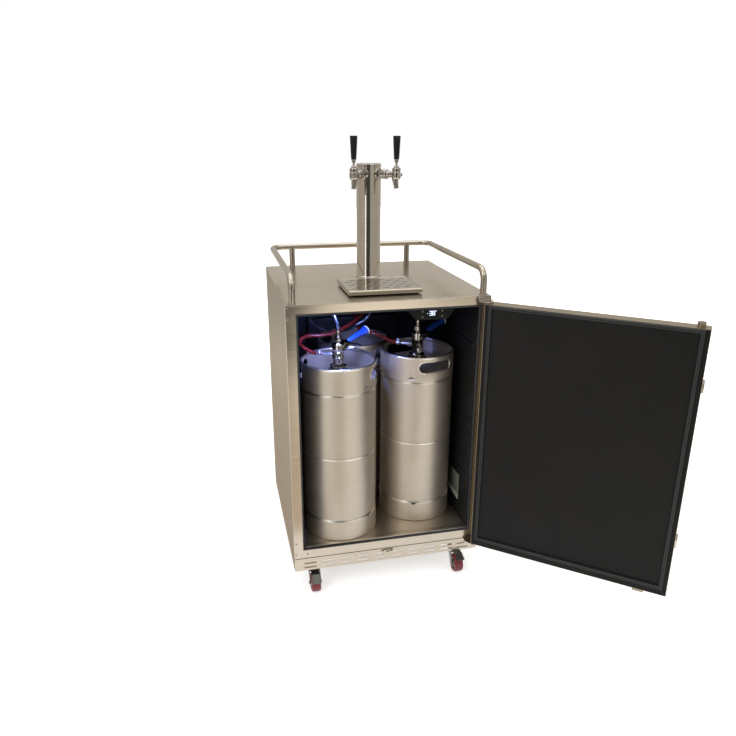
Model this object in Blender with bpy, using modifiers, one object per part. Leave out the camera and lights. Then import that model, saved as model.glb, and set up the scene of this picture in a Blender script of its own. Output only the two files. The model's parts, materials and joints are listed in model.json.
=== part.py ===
"""A two-tap kegerator on casters, with its door open and three slim kegs in its cold bay.

Metres, +Z up, the front faces -Y. Heights are above the floor, x is 0 at the cabinet's middle,
and y is 0 at the cabinet's front face. The whole part is then set over the middle of its own box.
"""

import math

import bmesh
import bpy
from mathutils import Vector

# Fits shared by all pieces
gap = 0.0003
overrun = 0.004
sheet = 0.0012
merge = 0.00001

# Kegs
keg_diameter = 0.238
keg_height = 0.575
keg_skirt_step = 0.0015
keg_skirt_wall = 0.0035
keg_rim_radius = 0.004
keg_top_skirt = 0.080
keg_bottom_skirt = 0.070
keg_seam_height = 0.2915
keg_bead = 0.0009
keg_head_depth = 0.058
keg_dome = 0.014
keg_neck_radius = 0.031
keg_neck_depth = 0.035
keg_foot_recess = 0.022
keg_slot_length = 0.118
keg_slot_height = 0.030
keg_slot_drop = 0.034
keg_drain_radius = 0.005
keg_turns = (-16, -75, -35)

# How the kegs stand in the bay
bay_left_gap = 0.018
bay_right_gap = 0.012
keg_side_gap = 0.034
keg_front_gap = 0.011
keg_stagger = 0.060
keg_nest_gap = 0.0065
bay_back_gap = 0.006
head_room = 0.1724

# Cabinet
side_wall = 0.0335
top_wall = 0.032
back_wall = 0.047
hump_foam = 0.024
liner_wall = 0.002
machine_room_depth = 0.0986
machine_room_height = 0.255
caster_height = 0.080
base_height = 0.043
base_seam = 0.002
bottom_rail = 0.029
sill_step = 0.006
opening_lip = 0.002
frame_depth = 0.020
rib_pitch = 0.090
rib_height = 0.012
rib_depth = 0.004
rib_count = 6
rib_start = 0.170
floor_plate_thickness = 0.002
louvre_length = 0.090
louvre_height = 0.006
louvre_pitch = 0.022
louvre_rows = 6

# Base, kick plate and its lock bracket
pan_thickness = 0.0025
caster_block = 0.070
caster_block_height = 0.0405
kick_slot_margin = 0.02875
kick_slot_bridge = 0.0155
kick_slot_height = 0.0055
kick_slot_count = 10
kick_row_lift = 0.011
kick_row_pitch = 0.015
lock_width = 0.032
lock_height = 0.021
lock_drop = 0.0145
lock_depth = 0.004
lock_barrel_radius = 0.007
lock_barrel_length = 0.003

# Machine room and cold air parts
compressor_radius = 0.042
compressor_stretch = 1.45
compressor_height = 0.165
compressor_dome = 0.022
compressor_foot = 0.003
terminal_box = (0.036, 0.020, 0.040)
cold_cover_width = 0.340
cold_cover_depth = 0.028
cold_cover_lift = 0.056
cold_cover_top_gap = 0.045
cold_cover_wall = 0.002
cold_cover_edge = 0.006
fan_drop = 0.095
fan_hole_radius = 0.046
fan_radius = 0.041
fan_hub_radius = 0.013
fan_blade_thickness = 0.0018
fan_blade_depth = 0.014
fan_blade_pitch = 32
fan_blades = 5

# Control panel and lamp under the ceiling
control_x = 0.1395
control_setback = 0.050
control_depth = 0.080
control_height = 0.045
control_width = 0.098
control_flare = 0.020
display_width = 0.036
display_height = 0.017
display_recess = 0.0015
display_drop = 0.025
button_radius = 0.0034
button_length = 0.007
button_proud = 0.0018
button_travel = 0.0012
button_spread = 0.031
button_drops = (0.018, 0.035)
lamp_size = (0.062, 0.020, 0.008)
lamp_x = -0.140
lamp_setback = 0.050

# Guard rail
rail_radius = 0.010
rail_inset = 0.0205
rail_front = 0.015
rail_back_inset = 0.052
rail_height = 0.075
rail_front_bend = 0.036
rail_back_bend = 0.040
rail_post_inset = 0.075
rail_bend_steps = 6

# Draft tower
tower_setback = 0.295
tower_radius = 0.038
tower_wall = 0.0015
tower_height = 0.356
tower_flange_radius = 0.046
tower_flange = 0.006
tower_cap = 0.0065
tower_cap_plug = 0.010
tower_hole_radius = 0.028

# Taps, measured out from the tower's axis
tap_angle = 37
tap_drop = 0.023
tap_reach = 0.108
shank_radius = 0.008
shank_tail_reach = 0.030
shank_tail_drop = 0.030
shank_barb_radius = 0.0042
shank_collar_radius = 0.0165
shank_collar = 0.0055
shank_nut_radius = 0.0145
shank_nut = 0.017
shank_nut_end = 0.0745
faucet_neck_radius = 0.0105
faucet_body_radius = 0.013
faucet_body_low = 0.015
faucet_ball_height = 0.0205
faucet_rim_radius = 0.0115
faucet_nub_radius = 0.005
faucet_nub = 0.020
spout_top_radius = 0.0095
spout_tip_radius = 0.0068
spout_bore_radius = 0.0048
spout_bore_depth = 0.012
spout_drop = 0.040
spout_back = 0.005
spout_out = 0.001
ball_radius = 0.008
lever_radius = 0.0032
lever_ferrule_radius = 0.0062
lever_ferrule_start = 0.036
tap_handle_start = 0.043
tap_handle_end = 0.110
tap_handle_low_radius = 0.0078
tap_handle_top_radius = 0.0112

# Drip tray
tray_width = 0.222
tray_depth = 0.180
tray_height = 0.018
tray_taper = 0.008
tray_flare = 0.015
tray_wall = 0.0018
tray_lip = 0.005
tray_gap = 0.005
grate_thickness = 0.0022
grate_slot_length = 0.024
grate_slot_width = 0.0055
grate_slot_count = 6
grate_slot_rows = 6
grate_margin = 0.012

# Door
door_side_gap = 0.007
door_top_drop = 0.017
door_bottom = 0.041
door_thickness = 0.045
door_gap = 0.007
door_edge = 0.006
door_pivot_inset = 0.0155
door_pivot_front = 0.025
door_open_angle = 139.9
gasket_inset = 0.0015
gasket_width = 0.010
gasket_groove = 0.003
pin_radius = 0.0042
pin_length = 0.012
pin_clearance = 0.0004
pin_collar_radius = 0.007
hinge_plate = 0.003
hinge_reach = 0.038
hinge_width = 0.044
hinge_corner = 0.012
hinge_leg = 0.011
hinge_leg_thickness = 0.004
upper_hinge_lift = 0.0025
bush_radius = 0.0105
bush_height = 0.013
bush_inset = 0.0245
stop_bracket = (0.032, 0.022, 0.015)
stop_bracket_inset = 0.0775
handle_inset = 0.012
handle_radius = 0.009
handle_stand = 0.042
handle_foot = (0.036, 0.026)
handle_top_drop = 0.1733
handle_low_drop = 0.6537
handle_overhang = 0.032

# Casters
caster_inset = 0.0645
caster_front = 0.037
caster_back_inset = 0.037
caster_trail = 0.033
caster_head_radius = 0.021
caster_head = 0.010
wheel_radius = 0.030
wheel_width = 0.029
wheel_edge = 0.003
axle_radius = 0.004
axle_clearance = 0.0004
fork_plate = 0.0025
fork_side_gap = 0.001
fork_boss_radius = 0.009
fork_top_length = 0.030
pedal_width = 0.026
pedal_thickness = 0.002
pedal_pivot_reach = 0.020
pedal_pivot_radius = 0.003
pedal_flat = 0.026
pedal_tip_out = 0.024
pedal_tip_drop = 0.018
pedal_over_wheel = 0.005
pedal_travel = 18

# Keg couplers
coupler_height = 0.115
coupler_base_radius = 0.026
coupler_base = 0.016
coupler_waist_radius = 0.016
coupler_waist_top = 0.036
coupler_band_radius = 0.019
coupler_band_top = 0.085
coupler_neck_radius = 0.0105
coupler_nut_radius = 0.0125
coupler_nut = 0.014
coupler_nut_drop = 0.010
coupler_inlet_height = 0.0435
coupler_inlet_reach = 0.055
coupler_inlet_radius = 0.0045
coupler_inlet_nut_radius = 0.009
coupler_inlet_nut = 0.014
coupler_inlet_turn = 125
coupler_relief_radius = 0.005
coupler_relief_reach = 0.032
coupler_relief_turn = -120
coupler_pivot_height = 0.070
coupler_turn = 25
coupler_handle_rest = 18
yoke_thickness = 0.003
yoke_half_height = 0.008
yoke_reach = 0.034
yoke_bridge = 0.010
grip_start_radius = 0.0065
grip_end_radius = 0.0125
grip_length = 0.086
grip_edge = 0.002

# Hoses
beer_line_diameter = 0.0095
gas_hose_diameter = 0.0115
hose_spacing = 0.020
hose_lead = 0.018
manifold_x = 0.015
manifold_drop = 0.095
manifold_width = 0.056
manifold_depth = 0.018
manifold_tall = 0.020
manifold_port_spread = 0.020
manifold_port_length = 0.010
manifold_port_radius = 0.0045
manifold_tail_radius = 0.008
manifold_tail_out = 0.022

# Free stretches of the hoses, above the cabinet's underside
left_beer_route = (
    (-0.137, 0.133, 0.778), (-0.151, 0.149, 0.804), (-0.179, 0.184, 0.813),
    (-0.2, 0.228, 0.796), (-0.203, 0.268, 0.762), (-0.184, 0.297, 0.726),
    (-0.146, 0.312, 0.699), (-0.106, 0.314, 0.69), (-0.071, 0.31, 0.695),
    (-0.04, 0.305, 0.71), (-0.014, 0.301, 0.726), (0.002, 0.3, 0.739),
    (0.009, 0.299, 0.762), (0.008, 0.298, 0.792), (0.001, 0.296, 0.826),
    (-0.009, 0.288, 0.865), (-0.0165, 0.276, 0.91), (-0.0181, 0.271, 0.96),
    (-0.0181, 0.271, 1.07),
)
right_beer_route = (
    (0.140, 0.194, 0.786), (0.138, 0.212, 0.808), (0.118, 0.243, 0.812),
    (0.082, 0.268, 0.800), (0.048, 0.282, 0.793), (0.026, 0.285, 0.806), (0.018, 0.283, 0.838),
    (0.0165, 0.278, 0.880), (0.0178, 0.272, 0.930), (0.0181, 0.271, 0.990), (0.0181, 0.271, 1.070),
)
left_gas_route = (
    (-0.216, 0.178, 0.672), (-0.233, 0.194, 0.681), (-0.2385, 0.2155, 0.689),
    (-0.23, 0.236, 0.695), (-0.208, 0.249, 0.699), (-0.176, 0.253, 0.698),
    (-0.131, 0.256, 0.7), (-0.091, 0.266, 0.713), (-0.051, 0.291, 0.726),
    (-0.016, 0.329, 0.738), (0.012, 0.373, 0.746), (0.029, 0.422, 0.748),
    (0.035, 0.47, 0.742),
)
right_gas_route = (
    (0.058, 0.235, 0.673), (0.036, 0.244, 0.683), (0.012, 0.257, 0.692),
    (-0.01, 0.277, 0.697), (-0.024, 0.304, 0.696), (-0.029, 0.335, 0.696),
    (-0.027, 0.37, 0.7), (-0.02, 0.41, 0.711), (-0.012, 0.45, 0.724),
    (-0.007, 0.483, 0.732),
)

# Sizes that follow from the ones above
keg_radius = keg_diameter / 2
bay_width = bay_left_gap + bay_right_gap + keg_side_gap + 2 * keg_diameter
bay_half = bay_width / 2
cabinet_width = bay_width + 2 * side_wall
half_width = cabinet_width / 2
left_keg_at = Vector((bay_left_gap + keg_radius - bay_half, keg_front_gap + keg_radius))
right_keg_at = Vector((bay_half - bay_right_gap - keg_radius, left_keg_at.y + keg_stagger))
keg_pair = right_keg_at - left_keg_at
nest_reach = math.sqrt((keg_diameter + keg_nest_gap) ** 2 - (keg_pair.length / 2) ** 2)
nest_way = Vector((-keg_pair.y, keg_pair.x)).normalized()
rear_keg_at = (left_keg_at + right_keg_at) / 2 + nest_way * nest_reach
bay_floor_depth = rear_keg_at.y + keg_radius + bay_back_gap
machine_room_front = bay_floor_depth + liner_wall + hump_foam
cabinet_depth = machine_room_front + machine_room_depth + sheet
bay_depth = cabinet_depth - back_wall
underside = caster_height
shell_bottom = underside + base_height + base_seam
opening_bottom = shell_bottom + bottom_rail
bay_floor = opening_bottom + sill_step
keg_stand = bay_floor + gap + floor_plate_thickness + gap
bay_ceiling = keg_stand + keg_height + head_room
opening_top = bay_ceiling + opening_lip
opening_half = bay_half + opening_lip
cabinet_top = bay_ceiling + top_wall
shell_top = cabinet_top - sheet - gap
skin_inside = half_width - sheet - gap
skin_front = frame_depth + gap
foam_back = cabinet_depth - sheet - gap
machine_room_top = underside + base_height + machine_room_height
hump_top = machine_room_top + hump_foam + liner_wall
neck_top = keg_stand + keg_height - keg_neck_depth
rail_half = half_width - rail_inset
rail_back = cabinet_depth - rail_back_inset
tap_level = cabinet_top + gap + tower_height - tap_drop
manifold_level = bay_ceiling - manifold_drop
cold_cover_low = hump_top + cold_cover_lift
cold_cover_high = manifold_level - manifold_tall / 2 - cold_cover_top_gap
fan_level = cold_cover_high - fan_drop
kick_slot_pitch = (cabinet_width - 2 * kick_slot_margin + kick_slot_bridge) / kick_slot_count
kick_slot_length = kick_slot_pitch - kick_slot_bridge
door_half = half_width - door_side_gap
door_low = underside + door_bottom
door_high = cabinet_top - door_top_drop
pivot_x = half_width - door_pivot_inset
pivot_y = -door_pivot_front
tray_back = tower_setback - tower_flange_radius - tray_gap
tray_front = tray_back - tray_depth

for leftover in list(bpy.data.objects):
    bpy.data.objects.remove(leftover)

pieces = bpy.data.collections.new("kegerator")
tools = bpy.data.collections.new("cutters")
bpy.context.scene.collection.children.link(pieces)
bpy.context.scene.collection.children.link(tools)


def finish(name, colour, roughness, metallic=0.0):
    """A plain Principled material."""
    made = bpy.data.materials.new(name)
    made.use_nodes = True
    shader = made.node_tree.nodes["Principled BSDF"]
    shader.inputs["Base Color"].default_value = (*colour, 1.0)
    shader.inputs["Roughness"].default_value = roughness
    shader.inputs["Metallic"].default_value = metallic
    return made


brushed = finish("brushed stainless steel", (0.46, 0.42, 0.37), 0.34, 1.0)
bright = finish("polished stainless steel", (0.62, 0.60, 0.57), 0.12, 1.0)
keg_steel = finish("matt drawn stainless steel", (0.36, 0.34, 0.30), 0.42, 1.0)
chrome = finish("chrome plate", (0.70, 0.70, 0.70), 0.08, 1.0)
zinc = finish("zinc plate", (0.48, 0.48, 0.46), 0.35, 1.0)
black_plastic = finish("black moulded plastic", (0.012, 0.012, 0.012), 0.45)
charcoal = finish("charcoal door panel", (0.025, 0.024, 0.022), 0.55)
foam_white = finish("insulation foam", (0.70, 0.64, 0.48), 0.9)
rubber = finish("black gasket rubber", (0.015, 0.015, 0.015), 0.7)
red_wheel = finish("red polyurethane", (0.25, 0.015, 0.025), 0.4)
blue_plastic = finish("blue moulded grip", (0.02, 0.11, 0.50), 0.35)
red_hose = finish("red gas hose", (0.30, 0.02, 0.02), 0.4)
clear_hose = finish("clear beer line", (0.65, 0.66, 0.66), 0.2)
enamel = finish("black enamel", (0.01, 0.01, 0.01), 0.3)
lamp_blue = finish("blue lamp cover", (0.10, 0.22, 0.80), 0.3)


def pivot(name, where, at, turn=(0, 0, 0)):
    """An empty that carries pieces."""
    empty = bpy.data.objects.new(name, None)
    empty.empty_display_size = sheet
    pieces.objects.link(empty)
    empty.parent = where
    empty.location = at
    empty.rotation_euler = turn
    return empty


def part(name, data, where, material, at=(0, 0, 0), turn=(0, 0, 0)):
    """One sub-part, made of a mesh or a curve."""
    body = bpy.data.objects.new(name, data)
    data.materials.append(material)
    pieces.objects.link(body)
    body.parent = where
    body.location = at
    body.rotation_euler = turn
    return body


def tool(data, where, at=(0, 0, 0), turn=(0, 0, 0)):
    """A shape that is cut from, or joined to, a sub-part."""
    body = bpy.data.objects.new("cutter", data)
    tools.objects.link(body)
    body.parent = where
    body.location = at
    body.rotation_euler = turn
    body.hide_render = True
    body.display_type = "WIRE"
    return body


def combine(body, operation, shapes):
    for shape in shapes:
        step = body.modifiers.new(operation.lower(), "BOOLEAN")
        step.operation = operation
        step.object = shape
        step.solver = "EXACT"


def cut(body, *shapes):
    combine(body, "DIFFERENCE", shapes)


def join(body, *shapes):
    combine(body, "UNION", shapes)


def box_mesh(size, edge=0.0):
    """A block round its own middle, with its edges rounded if edge is given."""
    shape = bmesh.new()
    bmesh.ops.create_cube(shape, size=1)
    bmesh.ops.scale(shape, vec=size, verts=shape.verts)
    if edge:
        bmesh.ops.bevel(shape, geom=shape.edges[:], offset=edge, segments=2, profile=0.5, affect="EDGES")
    mesh = bpy.data.meshes.new("block")
    shape.to_mesh(mesh)
    shape.free()
    return mesh


def middle(low, high):
    return [(a + b) / 2 for a, b in zip(low, high)]


def extent(low, high):
    return [b - a for a, b in zip(low, high)]


def box_part(name, low, high, where, material, edge=0.0):
    return part(name, box_mesh(extent(low, high), edge), where, material, middle(low, high))


def box_tool(low, high, where, edge=0.0):
    return tool(box_mesh(extent(low, high), edge), where, middle(low, high))


def rod_mesh(radius, length, sides=20, end_radius=None):
    """A round bar or cone along Z, round its own middle."""
    shape = bmesh.new()
    top = radius if end_radius is None else end_radius
    bmesh.ops.create_cone(
        shape, cap_ends=True, segments=sides, radius1=radius, radius2=top, depth=length)
    mesh = bpy.data.meshes.new("rod")
    shape.to_mesh(mesh)
    shape.free()
    mesh.shade_smooth()
    mesh.set_sharp_from_angle(angle=math.radians(40))
    return mesh


def ball_mesh(radius, sides=14, rings=8):
    shape = bmesh.new()
    bmesh.ops.create_uvsphere(shape, u_segments=sides, v_segments=rings, radius=radius)
    mesh = bpy.data.meshes.new("ball")
    shape.to_mesh(mesh)
    shape.free()
    mesh.shade_smooth()
    return mesh


def hull_mesh(points):
    """The tightest closed shape round some points."""
    shape = bmesh.new()
    for point in points:
        shape.verts.new(point)
    made = bmesh.ops.convex_hull(shape, input=shape.verts)
    inside = [item for item in made["geom_interior"] if isinstance(item, bmesh.types.BMVert)]
    bmesh.ops.delete(shape, geom=inside, context="VERTS")
    bmesh.ops.recalc_face_normals(shape, faces=shape.faces)
    mesh = bpy.data.meshes.new("hull")
    shape.to_mesh(mesh)
    shape.free()
    return mesh


def profile_mesh(points, closed=False):
    """A turned shape's half section: radius along X, height along Z."""
    edges = [(i, i + 1) for i in range(len(points) - 1)]
    if closed:
        edges.append((len(points) - 1, 0))
    mesh = bpy.data.meshes.new("profile")
    mesh.from_pydata([(radius, 0, height) for radius, height in points], edges, [])
    return mesh


def turned(body, steps):
    """Turns a half section about its own Z axis."""
    turn = body.modifiers.new("turn", "SCREW")
    turn.steps = steps
    turn.render_steps = steps
    turn.use_merge_vertices = True
    turn.merge_threshold = merge
    turn.use_smooth_shade = True
    return body


def mesh_of(curve):
    """The welded mesh of a curve, which is then removed."""
    holder = bpy.data.objects.new("guide", curve)
    bpy.context.scene.collection.objects.link(holder)
    ready = holder.evaluated_get(bpy.context.evaluated_depsgraph_get())
    mesh = bpy.data.meshes.new_from_object(ready)
    bpy.data.objects.remove(holder)
    shape = bmesh.new()
    shape.from_mesh(mesh)
    bmesh.ops.remove_doubles(shape, verts=shape.verts, dist=merge)
    bmesh.ops.recalc_face_normals(shape, faces=shape.faces)
    shape.to_mesh(mesh)
    shape.free()
    mesh.materials.clear()
    return mesh


def outline_mesh(loops, thickness):
    """A flat plate in its own XY plane; loops after the first are holes."""
    curve = bpy.data.curves.new("outline", "CURVE")
    curve.dimensions = "2D"
    curve.fill_mode = "BOTH"
    curve.extrude = thickness / 2
    for loop in loops:
        line = curve.splines.new("POLY")
        line.points.add(len(loop) - 1)
        for point, (x, y) in zip(line.points, loop):
            point.co = (x, y, 0, 1)
        line.use_cyclic_u = True
    return mesh_of(curve)


def arc(centre, radius, start, stop, steps):
    angles = [math.radians(start + (stop - start) * i / steps) for i in range(steps + 1)]
    return [(centre[0] + radius * math.cos(a), centre[1] + radius * math.sin(a)) for a in angles]


def rect_loop(low, high, radius=0.0, steps=3):
    """A rectangle, with round corners if radius is given."""
    if not radius:
        return [low, (high[0], low[1]), high, (low[0], high[1])]
    inner_low = (low[0] + radius, low[1] + radius)
    inner_high = (high[0] - radius, high[1] - radius)
    corners = (inner_high, (inner_low[0], inner_high[1]), inner_low, (inner_high[0], inner_low[1]))
    loop = []
    for turn, corner in enumerate(corners):
        loop += arc(corner, radius, 90 * turn, 90 * turn + 90, steps)
    return loop


def slot_loop(centre, length, width, steps=3):
    """A slot with round ends, along X."""
    radius = width / 2
    shift = length / 2 - radius
    right_end = arc((centre[0] + shift, centre[1]), radius, -90, 90, steps)
    left_end = arc((centre[0] - shift, centre[1]), radius, 90, 270, steps)
    return right_end + left_end


def circle_loop(centre, radius, steps=24):
    return arc(centre, radius, 0, 360, steps)[:-1]


def bent_path(corners, radii, steps):
    """A path through corners, each inner one rounded by an arc of its own radius."""
    path = [Vector(corners[0])]
    for before, corner, after, radius in zip(corners, corners[1:], corners[2:], radii):
        corner = Vector(corner)
        back = (Vector(before) - corner).normalized()
        ahead = (Vector(after) - corner).normalized()
        half = back.angle(ahead) / 2
        centre = corner + (back + ahead).normalized() * (radius / math.sin(half))
        start = corner + back * (radius / math.tan(half)) - centre
        stop = corner + ahead * (radius / math.tan(half)) - centre
        sweep = start.angle(stop)
        for i in range(steps + 1):
            share = i / steps
            mix = start * math.sin((1 - share) * sweep) + stop * math.sin(share * sweep)
            path.append(centre + mix / math.sin(sweep))
    path.append(Vector(corners[-1]))
    return path


def smooth_path(route, spacing):
    """Evenly spaced points on a smooth curve through the route's points."""
    route = [Vector(point) for point in route]
    route = [2 * route[0] - route[1]] + route + [2 * route[-1] - route[-2]]
    fine = []
    for a, b, c, d in zip(route, route[1:], route[2:], route[3:]):
        for i in range(24):
            t = i / 24
            fine.append(0.5 * ((2 * b) + (c - a) * t + (2 * a - 5 * b + 4 * c - d) * t * t
                               + (3 * b - 3 * c + d - a) * t * t * t))
    fine.append(route[-2])
    lengths = [0.0]
    for a, b in zip(fine, fine[1:]):
        lengths.append(lengths[-1] + (b - a).length)
    count = max(8, round(lengths[-1] / spacing))
    path = []
    place = 0
    for i in range(count + 1):
        target = lengths[-1] * i / count
        while place < len(fine) - 2 and lengths[place + 1] < target:
            place += 1
        share = (target - lengths[place]) / (lengths[place + 1] - lengths[place])
        path.append(fine[place].lerp(fine[place + 1], share))
    return path


def tube_curve(path, radius, resolution=2):
    """A round bar along a path, with closed ends."""
    curve = bpy.data.curves.new("tube", "CURVE")
    curve.dimensions = "3D"
    curve.bevel_depth = radius
    curve.bevel_resolution = resolution
    curve.use_fill_caps = True
    line = curve.splines.new("POLY")
    line.points.add(len(path) - 1)
    for point, place in zip(line.points, path):
        point.co = (*place, 1)
    return curve


upright = (math.pi / 2, 0, 0)
across = (0, math.pi / 2, 0)
along = (-math.pi / 2, 0, 0)

kegerator = pivot("kegerator", None, (0, 0, 0))


def make_skins():
    """The steel sheets round the cabinet."""
    for name, side in (("left_side_panel", -1), ("right_side_panel", 1)):
        faces = sorted((side * half_width, side * (half_width - sheet)))
        box_part(name, (faces[0], skin_front, shell_bottom), (faces[1], cabinet_depth, shell_top),
                 kegerator, brushed)
    hole = circle_loop((0, tower_setback), tower_hole_radius)
    edge = rect_loop((-half_width, 0), (half_width, cabinet_depth))
    part("top_panel", outline_mesh([edge, hole], sheet), kegerator, brushed,
         (0, 0, cabinet_top - sheet / 2))
    loops = [rect_loop((-skin_inside, shell_bottom), (skin_inside, shell_top))]
    first = (machine_room_top + shell_bottom - (louvre_rows - 1) * louvre_pitch) / 2
    for row in range(louvre_rows):
        for side in (-1, 0, 1):
            place = (side * 4 * louvre_length / 3, first + row * louvre_pitch)
            loops.append(slot_loop(place, louvre_length, louvre_height, 1))
    loops.append(circle_loop((manifold_x, manifold_level), manifold_tail_radius + gap, 16))
    part("back_panel", outline_mesh(loops, sheet), kegerator, brushed,
         (0, cabinet_depth - sheet / 2, 0), upright)


def make_front_frame():
    """The folded frame round the opening, hollow behind."""
    outer = ((-half_width, shell_bottom), (half_width, shell_top))
    inner = ((-opening_half, opening_bottom), (opening_half, opening_top))
    frame = part("front_frame", outline_mesh([rect_loop(*outer), rect_loop(*inner)], frame_depth),
                 kegerator, brushed, (0, frame_depth / 2, 0), upright)
    fold = 2 * sheet
    outer_fold = ((outer[0][0] + fold, outer[0][1] + fold), (outer[1][0] - fold, outer[1][1] - fold))
    inner_fold = ((inner[0][0] - fold, inner[0][1] - fold), (inner[1][0] + fold, inner[1][1] + fold))
    channel = outline_mesh([rect_loop(*outer_fold), rect_loop(*inner_fold)], frame_depth)
    cut(frame, tool(channel, kegerator, (0, frame_depth / 2 + fold, 0), upright))


def bay_tools(grow, front):
    """The cold bay's hollow, with its step over the machine room, grown by a wall on every side."""
    upper = box_tool((-bay_half - grow, front, hump_top - grow),
                     (bay_half + grow, bay_depth + grow, bay_ceiling + grow), kegerator)
    lower = box_tool((-bay_half - grow, front, bay_floor - grow),
                     (bay_half + grow, bay_floor_depth + grow, bay_ceiling + grow), kegerator)
    return upper, lower


def line_hole():
    """The hole that the beer lines take up into the tower."""
    height = top_wall + 2 * overrun
    return tool(rod_mesh(tower_hole_radius, height, 24), kegerator,
                (0, tower_setback, bay_ceiling + top_wall / 2))


def gas_hole():
    """The hole that the gas inlet takes through the back."""
    length = back_wall + 2 * overrun
    return tool(rod_mesh(manifold_tail_radius + gap, length, 16), kegerator,
                (manifold_x, bay_depth + back_wall / 2, manifold_level), upright)


def make_foam():
    """The foam between skins and liner, stepped over the machine room."""
    foam = box_part("cabinet_foam", (-skin_inside, skin_front, shell_bottom + gap),
                    (skin_inside, foam_back, shell_top), kegerator, foam_white)
    room = box_tool((-half_width, machine_room_front, underside),
                    (half_width, cabinet_depth + overrun, machine_room_top), kegerator)
    cut(foam, room, *bay_tools(liner_wall + gap, -overrun), line_hole(), gas_hole())


def make_liner():
    """The ribbed plastic tub that the kegs stand in."""
    liner = box_part("inner_liner", (-bay_half - liner_wall, skin_front, bay_floor - liner_wall),
                     (bay_half + liner_wall, bay_floor_depth + liner_wall, bay_ceiling + liner_wall),
                     kegerator, black_plastic)
    join(liner, box_tool((-bay_half - liner_wall, skin_front, hump_top - liner_wall),
                         (bay_half + liner_wall, bay_depth + liner_wall, bay_ceiling + liner_wall),
                         kegerator))
    cut(liner, *bay_tools(0, -overrun))
    rib_back = bay_floor_depth - rib_height
    size = (rib_depth * 2, rib_back - skin_front - rib_height, rib_height)
    for side in (-1, 1):
        for row in range(rib_count):
            height = bay_floor + rib_start + row * rib_pitch
            place = (side * bay_half, (skin_front + rib_height + rib_back) / 2, height)
            rib = box_mesh(size)
            trim_rib(rib)
            join(liner, tool(rib, kegerator, place))
    cut(liner, box_tool((bay_half + liner_wall, -overrun, bay_floor),
                        (bay_half + liner_wall + rib_depth, cabinet_depth, bay_ceiling), kegerator),
        box_tool((-bay_half - liner_wall - rib_depth, -overrun, bay_floor),
                 (-bay_half - liner_wall, cabinet_depth, bay_ceiling), kegerator),
        line_hole(), gas_hole())


def trim_rib(mesh):
    """Slopes a rib's inward edges."""
    shape = bmesh.new()
    shape.from_mesh(mesh)
    long_edges = [edge for edge in shape.edges
                  if abs(edge.verts[0].co.y - edge.verts[1].co.y) > rib_height]
    bmesh.ops.bevel(shape, geom=long_edges, offset=rib_height / 4, segments=1, profile=0.5,
                    affect="EDGES")
    shape.to_mesh(mesh)
    shape.free()


def make_floor_plate():
    low = (-bay_half + liner_wall, skin_front + sheet, bay_floor + gap)
    high = (bay_half - liner_wall, bay_floor_depth - liner_wall, keg_stand - gap)
    box_part("floor_plate", low, high, kegerator, brushed)


def make_base():
    """The pan with its side strips and the four caster blocks."""
    front = sheet + gap
    base = box_part("base_frame", (-half_width, front, underside + base_height - pan_thickness),
                    (half_width, cabinet_depth, underside + base_height), kegerator, zinc)
    strip_top = underside + base_height - pan_thickness / 2
    join(base, box_tool((-half_width, front, underside), (-half_width + sheet, cabinet_depth, strip_top),
                        kegerator))
    join(base, box_tool((half_width - sheet, front, underside), (half_width, cabinet_depth, strip_top),
                        kegerator))
    join(base, box_tool((-half_width + sheet / 2, cabinet_depth - sheet, underside),
                        (half_width - sheet / 2, cabinet_depth, strip_top), kegerator))
    for side in (-1, 1):
        outer = side * (half_width - sheet / 2)
        inner = side * (half_width - sheet / 2 - caster_block)
        for near in (front, cabinet_depth - sheet / 2 - caster_block):
            join(base, box_tool((min(outer, inner), near, underside),
                                (max(outer, inner), near + caster_block, strip_top), kegerator))


def make_kick_plate():
    """The slotted strip under the door, with its lock bracket."""
    plate = box_part("kick_plate", (-half_width, 0, underside),
                     (half_width, sheet, underside + base_height), kegerator, brushed)
    slots = []
    for row in (kick_row_lift, kick_row_lift + kick_row_pitch):
        for i in range(kick_slot_count):
            middle_x = (i - (kick_slot_count - 1) / 2) * kick_slot_pitch
            slots.append(slot_loop((middle_x, underside + row), kick_slot_length, kick_slot_height, 2))
    cut(plate, tool(outline_mesh(slots, 2 * sheet + overrun), kegerator, (0, sheet / 2, 0), upright))
    lock_half = lock_width / 2
    middle_z = underside + base_height - lock_drop
    join(plate, box_tool((-lock_half, -lock_depth, middle_z - lock_height / 2),
                         (lock_half, sheet / 2, middle_z + lock_height / 2), kegerator))
    barrel = rod_mesh(lock_barrel_radius, lock_depth + lock_barrel_length, 16)
    join(plate, tool(barrel, kegerator, (0, -(lock_depth + lock_barrel_length) / 2, middle_z), upright))


def make_machine():
    """The compressor on its feet."""
    stand = underside + base_height + gap
    radius = compressor_radius
    dome = compressor_dome
    top = compressor_height
    points = [(0, top), (radius * 0.45, top - dome * 0.1), (radius * 0.8, top - dome * 0.45),
              (radius, top - dome), (radius, dome), (radius * 0.8, dome * 0.5), (0, dome * 0.3)]
    room_middle = machine_room_front + machine_room_depth / 2
    can = turned(part("compressor", profile_mesh(points), kegerator, enamel, (0, room_middle, stand)), 20)
    can.scale = (compressor_stretch, 1, 1)
    foot = (2 * radius * compressor_stretch + dome, 2 * radius, compressor_foot)
    join(can, tool(box_mesh(foot), kegerator, (0, room_middle, stand + compressor_foot / 2)))
    for side in (-1, 1):
        leg = (dome, radius, dome)
        join(can, tool(box_mesh(leg), kegerator, (side * radius * 0.8, room_middle, stand + dome / 2)))
    side = radius * compressor_stretch
    join(can, tool(box_mesh(terminal_box, compressor_foot), kegerator,
                   (side, room_middle, stand + compressor_height / 2)))


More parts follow.
